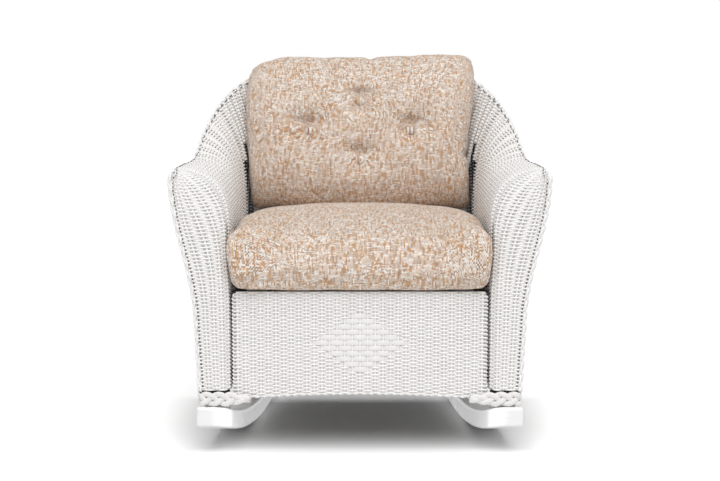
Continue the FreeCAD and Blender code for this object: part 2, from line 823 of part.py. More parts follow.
boot_low = weave_foot - FIT - size("boot_height")
boot = foot_band(
    BRAID, size("boot_thickness"), boot_low, size("boot_height"), ARM_FRONT - BRAID / 2, size("seat_half")
)
node(feature("foot_braid", boot))
hoop_out = size("hoop_outer") - (size("side_half") - size("side_tuck"))
hoop = foot_band(
    hoop_out,
    size("hoop_thickness"),
    boot_low + 4,
    size("hoop_height"),
    ARM_FRONT + 16,
    size("hoop_outer") - size("hoop_thickness") - 0.01,
)
node(feature("foot_hoop", hoop))


# Front skirt: a flat woven panel with rounded top corners and an arched lower edge.
skirt = doc.addObject("PartDesign::Body", "front_skirt")
outline = skirt.newObject("Sketcher::SketchObject", "skirt_outline")
outline.AttachmentSupport = [(skirt.Origin.OriginFeatures[4], "")]
outline.MapMode = "FlatFace"
pad = skirt.newObject("PartDesign::Pad", "skirt_sheet")
pad.Profile = outline
half_width = size("seat_half") - size("skirt_gap")
top = size("deck_height") - 2.5
low = size("skirt_foot")
round_off = size("skirt_corner")


def spot(x, z):
    return Vector(x, z, 0)


bow = round_off * (1 - math.sqrt(0.5))
outline.addGeometry(Part.LineSegment(spot(-half_width, low), spot(-half_width, top - round_off)))
outline.addGeometry(
    Part.Arc(
        spot(-half_width, top - round_off),
        spot(-half_width + bow, top - bow),
        spot(-half_width + round_off, top),
    )
)
outline.addGeometry(Part.LineSegment(spot(-half_width + round_off, top), spot(half_width - round_off, top)))
outline.addGeometry(
    Part.Arc(
        spot(half_width - round_off, top),
        spot(half_width - bow, top - bow),
        spot(half_width, top - round_off),
    )
)
outline.addGeometry(Part.LineSegment(spot(half_width, top - round_off), spot(half_width, low)))
outline.addGeometry(Part.Arc(spot(half_width, low), spot(0, low + size("skirt_arch")), spot(-half_width, low)))
bind(pad, Length="weave")
bind(skirt, Placement__Base__y="arm_front + skirt_recess + weave")
node(skirt)


# Seat cushion: sections across the chair, full in the middle and drawn in at the sides.
def section(points):
    """A closed outline of a line and three arcs, each arc given by its middle point."""
    a, b, bc, c, cd, d, da = points
    edges = [
        Part.makeLine(a, b),
        Part.Arc(b, bc, c).toShape(),
        Part.Arc(c, cd, d).toShape(),
        Part.Arc(d, da, a).toShape(),
    ]
    return Part.Wire(edges)


SEAT_STATIONS = [
    (0.0, 1.0, 1.0, 0.0),
    (0.40, 0.96, 1.0, 0.0),
    (0.58, 0.87, 1.0, 0.0),
    (0.72, 0.74, 0.99, 0.01),
    (0.83, 0.58, 0.97, 0.015),
    (0.92, 0.40, 0.92, 0.03),
    (0.975, 0.20, 0.78, 0.09),
    (1.0, 0.06, 0.50, 0.22),
]


def wall_line(z):
    """The seat face of the inner weave at one height, as spots out from the centre."""
    spots = []
    for i in range(44):
        share = 1 - 0.62 * i / 43
        line = inner_curve(share, deck, [j / 60 for j in range(61)])
        level = min(max(z, line[0].z), line[-1].z)
        for a, b in zip(line, line[1:]):
            if a.z <= level <= b.z:
                p = mix(a, b, (level - a.z) / max(b.z - a.z, 1e-6))
                towards = outward(p, Vector(0, ARM_FRONT + size("turn_start"), 0))
                spots.append(p + towards * (WEAVE / 2))
                break
    return spots


def wall_y(spots, x):
    x = max(x, spots[0].x)
    for a, b in zip(spots, spots[1:]):
        if a.x <= x <= b.x:
            return mix(a.y, b.y, (x - a.x) / max(b.x - a.x, 1e-6))
    return spots[-1].y


def seat_form(inset):
    half = size("seat_half") - size("cushion_fit") - inset
    edge = size("seat_edge") - 2 * inset
    front = ARM_FRONT - size("seat_overhang") + inset
    foot = size("deck_height") + FIT + inset
    stations = [(-s, c, h, lift) for s, c, h, lift in reversed(SEAT_STATIONS[1:])] + SEAT_STATIONS
    wall = wall_line(deck)
    outlines = []
    for along, crown, high, lift in stations:
        x = along * half
        low = foot + lift * edge
        tall = edge * high
        drawn = 40 * (1 - high)
        f = front + drawn
        b = wall_y(wall, abs(x) * (half + inset) / half) - size("cushion_fit") - inset - 0.2 * drawn
        top = low + tall
        outlines.append(
            section(
                [
                    Vector(x, f + 22, low),
                    Vector(x, b - 16, low),
                    Vector(x, b, low + 0.5 * tall),
                    Vector(x, b - 20, top),
                    Vector(x, mix(f, b, 0.48), top + crown * size("seat_crown")),
                    Vector(x, f + 42, top),
                    Vector(x, f, low + 0.45 * tall),
                ]
            )
        )
    return Part.makeLoft(outlines, True, False)


COVER = size("cover")
node(feature("seat_cushion_cover", seat_form(0).cut(seat_form(COVER))))
node(feature("seat_cushion_core", seat_form(COVER + FIT)))


# Back cushion: level sections from the seat up, fitted to the barrel of the inner weave.
def seat_top(y):
    """Height of the seat cushion's crown at one place along the chair."""
    front = ARM_FRONT - size("seat_overhang") + 42
    back = size("back_inner") - size("cushion_fit") - 20
    share = (y - front) / (back - front)
    return size("deck_height") + FIT + size("seat_edge") + 4 * share * (1 - share) * size("seat_crown")


BACK_STATIONS = [
    (0.0, 0.86, 0.50),
    (0.05, 0.93, 0.72),
    (0.18, 0.96, 0.92),
    (0.45, 0.98, 1.0),
    (0.70, 1.0, 0.97),
    (0.87, 0.985, 0.80),
    (0.96, 0.94, 0.56),
    (1.0, 0.86, 0.30),
]


def back_form(inset):
    crest = size("arm_height") + size("rim_rise") + size("back_top")
    foot = seat_top(size("back_inner") - 0.62 * size("back_thickness")) + 2 * FIT
    outlines = []
    for up, wide, thick in BACK_STATIONS:
        z = mix(foot + inset, crest - inset, up)
        half = size("back_half") * wide
        deep = size("back_thickness") * thick
        corner_x = 0.52 * half
        corner_y = 0.62 * deep
        bow = math.sqrt(0.5)
        right = [
            (half - corner_x, 0.0),
            (half - corner_x * (1 - bow), -corner_y * (1 - bow)),
            (half, -corner_y),
            (half - 0.01 * half, -0.5 * (corner_y + 0.93 * deep)),
            (half - 0.06 * half, -0.93 * deep),
        ]
        wall = wall_line(z)
        rear_arc = Part.Arc(*[Vector(x, y, 0) for x, y in right[:3]]).toShape()
        reach = rear_arc.discretize(24) + [Vector(0, 0, 0)]
        rear = min(wall_y(wall, p.x) - p.y for p in reach) - size("cushion_fit")
        x_scale = (half - inset) / half
        y_scale = (deep - 2 * inset) / deep
        right = [Vector(x * x_scale, rear - inset + y * y_scale, z) for x, y in right]
        left = [Vector(-p.x, p.y, p.z) for p in right]
        nose = Vector(0, rear - inset - deep * y_scale, z)
        edges = [
            Part.makeLine(left[0], right[0]),
            Part.Arc(right[0], right[1], right[2]).toShape(),
            Part.Arc(right[2], right[3], right[4]).toShape(),
            Part.Arc(right[4], nose, left[4]).toShape(),
            Part.Arc(left[4], left[3], left[2]).toShape(),
            Part.Arc(left[2], left[1], left[0]).toShape(),
        ]
        outlines.append(Part.Wire(edges))
    return Part.makeLoft(outlines, True, False)


back_outside = back_form(0)
back_inside = back_form(COVER)
CORE_EASE = 5.5

# Tufts: each button pulls a hollow in the cover, and a cord ties it to one behind.
low_tuft = size("deck_height") + size("tuft_low")
TUFTS = [
    (0.0, low_tuft),
    (-size("tuft_spread"), low_tuft + size("tuft_rise")),
    (size("tuft_spread"), low_tuft + size("tuft_rise")),
    (0.0, low_tuft + 2 * size("tuft_rise")),
]
BALL = size("tuft_ball")
BACK_BALL = 0.7 * BALL
TUCK = 1.3 * size("button_height")
cap = size("button_radius")


def seat_of(ball):
    return ball - math.sqrt(ball * ball - cap * cap) + FIT


def button(name, place, turn):
    dome = doc.addObject("Part::Sphere", name)
    bind(dome, Radius="button_ball")
    dome.setExpression("Angle1", "asin(1 - dims.button_height / dims.button_ball)")
    doc.recompute()
    flat = size("button_ball") - size("button_height")
    heading = Rotation(Vector(1, 0, 0), turn)
    dome.Placement = Placement(place - heading.multVec(Vector(0, 0, flat)), heading)
    return dome


front_buttons, rear_buttons, cords, channels = [], [], [], []
dimples, core_dimples, foam_dimples = [], [], []
for i, (x, z) in enumerate(TUFTS):
    probe = Part.makeLine(Vector(x, ARM_FRONT, z), Vector(x, RIM_BACK, z))
    inside = back_outside.common(probe).BoundBox
    bottom = inside.YMin + size("tuft_depth")
    rear_bottom = inside.YMax - TUCK
    front_flat = bottom - seat_of(BALL)
    rear_flat = rear_bottom + seat_of(BACK_BALL)
    for ball, y in ((BALL, bottom - BALL), (BACK_BALL, rear_bottom + BACK_BALL)):
        dimples.append(Part.makeSphere(ball, Vector(x, y, z)))
        core_dimples.append(Part.makeSphere(ball + COVER, Vector(x, y, z)))
        foam_dimples.append(Part.makeSphere(ball + COVER + 2 * FIT, Vector(x, y, z)))
    length = rear_flat - front_flat
    channels.append(
        Part.makeCylinder(size("cord_radius") + FIT, length, Vector(x, front_flat, z), Vector(0, 1, 0))
    )
    front_buttons.append(button(f"front_button_{i}", Vector(x, front_flat, z), 90))
    rear_buttons.append(button(f"rear_button_{i}", Vector(x, rear_flat, z), -90))
    cords.append(Part.makeCylinder(size("cord_radius"), length, Vector(x, front_flat, z), Vector(0, 1, 0)))

lining = back_inside
for ball in core_dimples:
    lining = lining.cut(ball)
foam = back_form(COVER + CORE_EASE)
for ball in foam_dimples:
    foam = foam.cut(ball)
cover = back_outside
for ball in dimples:
    cover = cover.cut(ball)
cover = cover.cut(lining)
for channel in channels:
    cover = cover.cut(channel)
    foam = foam.cut(channel)
node(feature("back_cushion_cover", cover))
node(feature("back_cushion_core", foam))
node(group("tuft_buttons_front", front_buttons))
node(group("tuft_buttons_rear", rear_buttons))
node(feature("tuft_cords", Part.makeCompound(cords)))

doc.recompute()
os.makedirs("parts", exist_ok=True)
for old in os.listdir("parts"):
    if old.endswith(".step"):
        os.remove(os.path.join("parts", old))
for thing in nodes:
    thing.Label = thing.Name
    if "Invalid" in thing.State or "Error" in thing.State:
        raise RuntimeError(f"{thing.Name} did not build: {thing.State}")
    if thing.Shape.isNull() or not thing.Shape.isValid():
        raise RuntimeError(f"{thing.Name} has no valid shape")
    thing.Shape.exportStep(f"parts/{thing.Name}.step")
print(len(nodes), "nodes")
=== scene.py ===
import math

import bmesh
import bpy
import numpy as np
from mathutils import Matrix


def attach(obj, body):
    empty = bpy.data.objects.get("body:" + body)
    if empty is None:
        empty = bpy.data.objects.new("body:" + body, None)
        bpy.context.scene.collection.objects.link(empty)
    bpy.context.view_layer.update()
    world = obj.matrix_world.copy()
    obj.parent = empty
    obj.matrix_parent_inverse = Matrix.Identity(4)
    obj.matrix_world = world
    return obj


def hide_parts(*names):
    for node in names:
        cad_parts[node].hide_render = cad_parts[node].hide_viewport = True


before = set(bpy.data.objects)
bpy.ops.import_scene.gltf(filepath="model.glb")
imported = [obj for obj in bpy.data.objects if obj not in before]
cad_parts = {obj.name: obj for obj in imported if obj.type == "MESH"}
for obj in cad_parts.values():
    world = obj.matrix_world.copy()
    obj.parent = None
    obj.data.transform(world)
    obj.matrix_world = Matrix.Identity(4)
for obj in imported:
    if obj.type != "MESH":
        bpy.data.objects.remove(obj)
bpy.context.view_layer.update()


# Runners: two boards of bent hardwood with rounded tips, filled, sanded and sprayed gloss white.
# Each is bolted from below to a front and a rear leg, and the chair rolls on them.
def add_node(tree, kind, inputs=None, **settings):
    """A shader node with its settings, and values or links on its inputs."""
    made = tree.nodes.new(kind)
    for key, value in settings.items():
        setattr(made, key, value)
    for key, value in (inputs or {}).items():
        socket = made.inputs[key]
        if isinstance(value, bpy.types.NodeSocket):
            tree.links.new(value, socket)
        else:
            socket.default_value = value
    return made


def start_material(name, **plain):
    """A material whose Principled shader has these plain values."""
    material = bpy.data.materials.new(name)
    material.use_nodes = True
    tree = material.node_tree
    shader = tree.nodes["Principled BSDF"]
    for key, value in plain.items():
        shader.inputs[key.replace("_", " ")].default_value = value
    return material, tree, shader


def start_group(name, inputs, outputs):
    """A shader node group with named sockets."""
    group = bpy.data.node_groups.new(name, "ShaderNodeTree")
    for label, (kind, value) in inputs.items():
        socket = group.interface.new_socket(label, in_out="INPUT", socket_type=kind)
        socket.default_value = value
    for label, kind in outputs.items():
        group.interface.new_socket(label, in_out="OUTPUT", socket_type=kind)
    return group, group.nodes.new("NodeGroupInput"), group.nodes.new("NodeGroupOutput")


def add_bump(tree, shader, height, strength, depth):
    """Raise a shader's surface by a height, with a depth in metres."""
    bump = add_node(tree, "ShaderNodeBump", {"Height": height, "Strength": strength, "Distance": depth})
    tree.links.new(bump.outputs["Normal"], shader.inputs["Normal"])


def sprayed_coat():
    """Sprayed enamel: a faint drift of tone and the orange peel of the gun."""
    inputs = {
        "Color": ("NodeSocketColor", (0.8, 0.8, 0.8, 1)),
        "Drift": ("NodeSocketFloat", 0.03),
        "Peel Scale": ("NodeSocketFloat", 260.0),
        "Gloss Roughness": ("NodeSocketFloat", 0.3),
    }
    outputs = {"Color": "NodeSocketColor", "Roughness": "NodeSocketFloat", "Peel": "NodeSocketFloat"}
    group, start, end = start_group("sprayed_coat", inputs, outputs)
    place = add_node(group, "ShaderNodeTexCoord").outputs["Object"]
    cloud = add_node(group, "ShaderNodeTexNoise", {"Vector": place, "Scale": 9.0, "Detail": 4.0})
    peel = add_node(
        group, "ShaderNodeTexNoise", {"Vector": place, "Scale": start.outputs["Peel Scale"], "Detail": 2.0}
    )
    shift = add_node(
        group,
        "ShaderNodeMath",
        {0: cloud.outputs["Fac"], 1: start.outputs["Drift"]},
        operation="MULTIPLY",
    )
    tone = add_node(
        group,
        "ShaderNodeMix",
        {"Factor": shift.outputs[0], "A": start.outputs["Color"], "B": (0.35, 0.34, 0.32, 1)},
        data_type="RGBA",
    )
    uneven = add_node(
        group,
        "ShaderNodeMath",
        {0: cloud.outputs["Fac"], 1: 0.12, 2: start.outputs["Gloss Roughness"]},
        operation="MULTIPLY_ADD",
    )
    group.links.new(tone.outputs["Result"], end.inputs["Color"])
    group.links.new(uneven.outputs[0], end.inputs["Roughness"])
    group.links.new(peel.outputs["Fac"], end.inputs["Peel"])
    return group


enamel = sprayed_coat()


def sprayed_material(name, color, gloss, peel_depth):
    material, tree, shader = start_material(name)
    coat = add_node(tree, "ShaderNodeGroup", node_tree=enamel)
    coat.inputs["Color"].default_value = (*color, 1)
    coat.inputs["Gloss Roughness"].default_value = gloss
    tree.links.new(coat.outputs["Color"], shader.inputs["Base Color"])
    tree.links.new(coat.outputs["Roughness"], shader.inputs["Roughness"])
    add_bump(tree, shader, coat.outputs["Peel"], 0.2, peel_depth)
    return material


def dress(material, *names):
    """Give CAD nodes a finish."""
    for name in names:
        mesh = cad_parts[name].data
        mesh.materials.clear()
        mesh.materials.append(material)


runner_white = (0.86, 0.86, 0.86)
dress(sprayed_material("runner_enamel", runner_white, 0.22, 0.0004), "runner_left", "runner_right")

# Feet: moulded nylon saddles between runner and leg, plugs in the leg ends, zinc plated bolts.
# The saddles are wedge shaped, so that the legs stand upright on the curved boards.
dress(sprayed_material("saddle_nylon", (0.84, 0.84, 0.84), 0.38, 0.0003), "runner_saddles", "leg_plugs")


def two_tones(tree, shader, amount, dark, pale):
    """Colour a shader from dark to pale by an amount."""
    shade = add_node(tree, "ShaderNodeValToRGB", {"Fac": amount})
    for element, color in zip(shade.color_ramp.elements, (dark, pale)):
        element.color = (*color, 1)
    tree.links.new(shade.outputs["Color"], shader.inputs["Base Color"])


def plated_material(name, color):
    material, tree, shader = start_material(name, Metallic=1.0)
    place = add_node(tree, "ShaderNodeTexCoord").outputs["Object"]
    stain = add_node(tree, "ShaderNodeTexNoise", {"Vector": place, "Scale": 160.0, "Detail": 5.0})
    stained = [0.75 * c for c in color]
    two_tones(tree, shader, stain.outputs["Fac"], stained, color)
    rough = add_node(
        tree, "ShaderNodeMath", {0: stain.outputs["Fac"], 1: 0.3, 2: 0.22}, operation="MULTIPLY_ADD"
    )
    tree.links.new(rough.outputs[0], shader.inputs["Roughness"])
    return material


dress(plated_material("zinc_plate", (0.62, 0.62, 0.64)), "runner_bolts", "webbing_clips")

# Frame: rectangular aluminium tube, welded, with a near-black powder coat that is partly painted shade, and a
# bent tube under the rim.
# Almost all of it is inside the weave and shows only from below. The two rear feet are white.
frame_nodes = [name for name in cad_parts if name.endswith(("_left", "_right"))]
frame_nodes = [n for n in frame_nodes if n.split("_")[1] in ("leg", "rail", "post")]
frame_nodes += ["front_rail", "rear_rail", "front_stretcher", "rear_stretcher"]
frame_nodes += ["arm_and_back_tube", "foot_hoop"]
# The coat is made near black as painted shade, so that the frame seen through the gaps beside the skirt reads
# as dark as the shade there.
dress(sprayed_material("powder_coat_and_painted_shade", (0.045, 0.045, 0.047), 0.45, 0.0005), *frame_nodes)
dress(sprayed_material("foot_coat", (0.80, 0.80, 0.80), 0.4, 0.0005), "rear_foot_left", "rear_foot_right")


# Battens: two strips of pine behind the skirt, along its top and along its foot.
# The upper and lower edges of the skirt are stapled to them.
def pine_material():
    material, tree, shader = start_material("batten_pine", Roughness=0.6)
    place = add_node(tree, "ShaderNodeTexCoord").outputs["Object"]
    turned = add_node(tree, "ShaderNodeMapping", {"Vector": place, "Scale": (6.0, 90.0, 90.0)})
    grain = add_node(
        tree,
        "ShaderNodeTexNoise",
        {"Vector": turned.outputs[0], "Scale": 1.0, "Detail": 5.0, "Distortion": 0.6},
    )
    two_tones(tree, shader, grain.outputs["Fac"], (0.42, 0.25, 0.12), (0.70, 0.52, 0.32))
    add_bump(tree, shader, grain.outputs["Fac"], 0.2, 0.0005)
    return material


dress(pine_material(), "skirt_top_batten", "skirt_foot_batten")


# Seat webbing: woven elastic straps in two layers that carry the seat cushion.
# They run both ways under it, and metal clips hold their ends.
def webbing_material():
    material, tree, shader = start_material("seat_webbing", Roughness=0.85)
    place = add_node(tree, "ShaderNodeTexCoord").outputs["Object"]
    ribs = add_node(
        tree,
        "ShaderNodeTexWave",
        {"Vector": place, "Scale": 120.0, "Distortion": 1.5, "Detail": 1.0},
        bands_direction="DIAGONAL",
    )
    two_tones(tree, shader, ribs.outputs["Fac"], (0.02, 0.02, 0.02), (0.075, 0.075, 0.075))
    add_bump(tree, shader, ribs.outputs["Fac"], 0.5, 0.0006)
    return material


dress(webbing_material(), "webbing_lengthwise", "webbing_crosswise")


# Rim: the line in space that the weave is drawn up to, straight along the arms and round the back.
# It rises from the arms in two wings, and a braid covers it later.
UP = np.array([0.0, 0.0, 1.0])
arm_front = -0.405
sheet = 0.005
braid_radius = 0.007
rim_half = 0.437
wing_half = 0.410
rim_front = arm_front + sheet
rim_turn = -0.052
rim_back = 0.324
wing_start = -0.156
arm_height = 0.655
rim_rise = 0.229
turn_roundness = 2.17
wing_steepness = 2.45
rim_gap = 1.05 * braid_radius + 0.0003
over_braid = 0.0085
flare_gap = 0.0045
back_step = 1.1 * sheet
back_shares = (0.36, 0.80)


def ease(low, high, value):
    share = np.clip((value - low) / (high - low), 0.0, 1.0)
    return share * share * (3 - 2 * share)


def mix(first, second, share):
    return first + (second - first) * share


def unit(v):
    return v / np.linalg.norm(v)


def line_lengths(points):
    steps = np.linalg.norm(np.diff(points, axis=0), axis=1)
    return np.concatenate([[0.0], np.cumsum(steps)])


def at_length(points, lengths, wanted):
    """Points at the wanted lengths along a line."""
    return np.stack([np.interp(wanted, lengths, points[:, k]) for k in range(3)], axis=-1)


def rim_points():
    straight = np.arange(60) / 60
    turn = np.linspace(0, math.pi / 2, 241)
    power = 2 / turn_roundness
    x = np.r_[mix(rim_half, wing_half, straight), wing_half * np.cos(turn).clip(0) ** power]
    y = np.r_[mix(rim_front, rim_turn, straight), rim_turn + (rim_back - rim_turn) * np.sin(turn) ** power]
    climb = ((y - wing_start) / (rim_back - wing_start)).clip(0, 1)
    z = arm_height + rim_rise * np.sin(climb * math.pi / 2) ** wing_steepness
    return np.stack([x, y, z], axis=1)


rim_line = rim_points()
rim_lengths = line_lengths(rim_line)


def rim(share):
    return at_length(rim_line, rim_lengths, share * rim_lengths[-1])


def rim_heading(share):
    if share > 0.995:
        return np.array([-1.0, 0.0, 0.0])
    return unit(rim(share + 0.004) - rim(max(share - 0.004, 0.0)))


def square_to(run, direction):
    return unit(direction - run * direction.dot(run))


# Weave, seat side: one loom sheet of coated paper strands round each arm front and over the arms.
# It lines the barrel back and leaves a slot beside the cushion, in the corner of arm and back.
# Stiff warps stand a thumb's width apart, with wefts packed between.
seat_half = 0.302
side_half = 0.381
side_tuck = 0.008
weave_foot = 0.149
flare_start = 0.300
deck_height = 0.386
roll_drop = 0.110
back_inner = 0.195
front_corner = 0.022
back_corner = 0.170


def plan_path(legs, distance):
    """A point on a plan path of straight runs and quarter turns, each given with its length."""
    for length, place in legs:
        if distance <= length or place is legs[-1][1]:
            return np.array([*place(distance), 0.0])
        distance -= length


def inner_legs():
    left = seat_half + sheet / 2
    front = arm_front + sheet / 2
    back = back_inner + sheet / 2
    outer = side_half - flare_gap
    small, large, quarter = front_corner, back_corner, math.pi / 2
    nose = (left + small, front + small)
    corner = (left - large, back - large)
    return [
        (outer - left - small, lambda d: (outer - d, front)),
        (
            small * quarter,
            lambda d: (nose[0] - small * math.sin(d / small), nose[1] - small * math.cos(d / small)),
        ),
        (back - large - front - small, lambda d: (left, front + small + d)),
        (
            large * quarter,
            lambda d: (corner[0] + large * math.cos(d / large), corner[1] + large * math.sin(d / large)),
        ),
        (left - large, lambda d: (left - large - d, back)),
    ]


broad_corner = 0.045
broad_low, broad_full, broad_fade = 0.36, 0.50, 0.60


def broad_turn(distance):
    """How far a point near the front corner moves to lie on a broader turn."""
    small, large, quarter = front_corner, broad_corner, math.pi / 2
    left, front = seat_half + sheet / 2, arm_front + sheet / 2
    first = side_half - flare_gap - left - large
    share = (distance - first) / (2 * (large - small) + small * quarter)
    if not 0 < share < 1:
        return np.zeros(3)
    angle = share * quarter
    turned = np.array([left + large * (1 - math.sin(angle)), front + large * (1 - math.cos(angle)), 0.0])
    return turned - plan_path(inner_plan, distance)


inner_plan = inner_legs()
inner_length = sum(length for length, _ in inner_plan)
front_share = (inner_plan[0][0] + inner_plan[1][0]) / inner_length


def swing(a, b, c, d):
    """A curve between two points with two pulls."""
    t = np.linspace(0, 1, 49)[:, None]
    s = 1 - t
    return a * s**3 + b * (3 * s * s * t) + c * (3 * s * t * t) + d * t**3


def outward(start, end):
    return unit(np.array([end[0] - start[0], end[1] - start[1], 0.0]))


def inner_warp(share):
    """One warp of the seat-side sheet, from its foot up and over to the rim."""
    if share > 1:
        return inner_warp(2 - share) * (-1, 1, 1)
    base = plan_path(inner_plan, share * inner_length)
    rim_share = share**1.25
    end = rim(rim_share)
    front = 1 - ease(0.0, front_share * 1.15, share)
    back = ease(*back_shares, share)

    def by_place(at_front, on_arm, at_back):
        return on_arm + (at_front - on_arm) * front + (at_back - on_arm) * back

    roll = arm_height - roll_drop
    flare = arm_height - flare_start
    start = base + UP * by_place(flare_start, roll, mix(deck_height, roll, 0.35))
    lift = math.radians(by_place(90, 0, 80))
    level = outward(base, end)
    heading = level * math.cos(lift) + UP * math.sin(lift)
    aside = UP * math.cos(lift) - level * math.sin(lift)
    run = rim_heading(rim_share)
    beside = flare_gap + sheet / 2 * ease(0, 0.25 * front_share, share)
    stop = end + square_to(run, aside) * by_place(beside, over_braid, over_braid)
    first = start + UP * by_place(0.366 * flare, 0.82 * roll_drop, 0.65 * rim_rise)
    second = stop - heading * by_place(0.352 * flare, 0.72 * roll_drop, 0.70 * rim_rise)
    foot = base + UP * weave_foot - np.array([side_tuck * front, 0, 0])
    line = np.vstack([np.linspace(foot, start, 16)[:-1], swing(start, first, second, stop)])
    height = line[:, 2]
    broad = ease(broad_low, broad_full, height) * (1 - ease(broad_fade, arm_height, height))
    return line + broad_turn(share * inner_length) * broad[:, None]


weft_pitch = 0.00436
weft_radius = 0.00245
warp_radius = 0.0031
weave_swing = 0.0022
weft_grip = 0.16


def tubes(name, lines, radius, roundness=1):
    """Round strands along lines of points, as one mesh."""
    curve = bpy.data.curves.new(name, "CURVE")
    curve.dimensions = "3D"
    curve.bevel_depth = radius
    curve.bevel_resolution = roundness
    for line in lines:
        spline = curve.splines.new("POLY")
        spline.points.add(len(line) - 1)
        spline.points.foreach_set("co", np.c_[line, np.ones(len(line))].ravel())
    holder = bpy.data.objects.new(name, curve)
    mesh = bpy.data.meshes.new_from_object(holder)
    bpy.data.objects.remove(holder)
    bpy.data.curves.remove(curve)
    return mesh


def woven_grid(warp, columns, rows, facing):
    """Points and facing normals of a sheet at columns of warps and rows up from the foot."""
    lines = [warp(c) for c in columns]
    spans = [line_lengths(line) for line in lines]
    points = np.array([at_length(a, s, rows) for a, s in zip(lines, spans)])
    above = np.array([at_length(a, s, rows + 0.001) for a, s in zip(lines, spans)])
    below = np.array([at_length(a, s, rows - 0.001) for a, s in zip(lines, spans)])
    normals = np.cross(np.gradient(points, axis=0), above - below) * facing
    normals /= np.linalg.norm(normals, axis=2, keepdims=True).clip(1e-12)
    reach = np.array([s[-1] for s in spans])
    return points, normals, rows[None, :] <= reach[:, None] + 0.0005


def runs_of(valid):
    """First and last places of each unbroken stretch."""
    edges = np.flatnonzero(np.diff(np.r_[0, valid.astype(int), 0]))
    return [(a, b) for a, b in zip(edges[::2], edges[1::2]) if b - a > 1]


def woven(name, warp, count, first, last, low, high, facing, rib=0.0):
    """Wefts and warps between two warp numbers and two heights along the warps.

    Every other weft stands out by the rib.
    """
    numbers = np.arange(math.ceil(first), math.floor(last) + 1)
    columns = np.r_[first, last, numbers - weft_grip, numbers + weft_grip]
    columns = np.unique(columns.clip(first, last).round(6))
    first_row = math.ceil(low / weft_pitch)
    row_numbers = np.arange(first_row, math.floor(high / weft_pitch) + 1)
    rows = row_numbers * weft_pitch
    points, normals, valid = woven_grid(lambda c: warp(c / count), columns, rows, facing)
    nearest = np.round(columns).astype(int)
    over = np.where((nearest[:, None] + row_numbers[None, :]) % 2 == 0, 1.0, -1.0)
    held = np.abs(columns - nearest) < 0.4
    inside = ease(0, 4, np.minimum(columns - first, last - columns))
    offset = over * held[:, None] * weave_swing + rib * inside[:, None] * (1 - 2 * (row_numbers % 2))
    lines, bases, faces = [], [], []
    for j in range(len(rows)):
        for a, b in runs_of(valid[:, j]):
            lines.append(points[a:b, j] + normals[a:b, j] * offset[a:b, j, None])
            bases.append(points[a:b, j])
            faces.append(normals[a:b, j])
    weft = tubes(name, lines, weft_radius)
    mark_depth(weft, np.vstack(bases), np.vstack(faces))
    stakes = np.arange(low, high, 2 * weft_pitch)
    columns = np.array([first, *(n for n in numbers if first < n < last), last], float)
    points, normals, valid = woven_grid(lambda c: warp(c / count), columns, stakes, facing)
    lines, bases, faces = [], [], []
    for i in range(1, len(columns) - 1):
        keep = valid[i]
        lines.append(points[i][keep])
        bases.append(points[i][keep])
        faces.append(normals[i][keep])
    warps = tubes(name + "_warps", lines, warp_radius)
    mark_depth(warps, np.vstack(bases), np.vstack(faces))
    return weft, warps


def points_of(mesh):
    co = np.empty(len(mesh.vertices) * 3, np.float32)
    mesh.vertices.foreach_get("co", co)
    return co.reshape(-1, 3).astype(float)


def mark_depth(mesh, bases, faces):
    """Store how far each point stands out of the sheet, in millimetres, from which the strand skin paints
    shade.
    """
    sides = len(mesh.vertices) // len(bases)
    away = points_of(mesh) - np.repeat(bases, sides, axis=0)
    stand = (away * np.repeat(faces, sides, axis=0)).sum(1)
    depth = mesh.attributes.new("stand", "FLOAT", "POINT")
    depth.data.foreach_set("value", (stand * 1000).astype(np.float32))


def join_meshes(name, *meshes):
    """One object from several meshes."""
    shape = bmesh.new()
    for mesh in meshes:
        shape.from_mesh(mesh)
        bpy.data.meshes.remove(mesh)
    ends = [edge for edge in shape.edges if edge.is_boundary]
    bmesh.ops.holes_fill(shape, edges=ends, sides=8)
    joined = bpy.data.meshes.new(name)
    shape.to_mesh(joined)
    shape.free()
    joined.shade_smooth()
    made = bpy.data.objects.new(name, joined)
    bpy.context.scene.collection.objects.link(made)
    return made


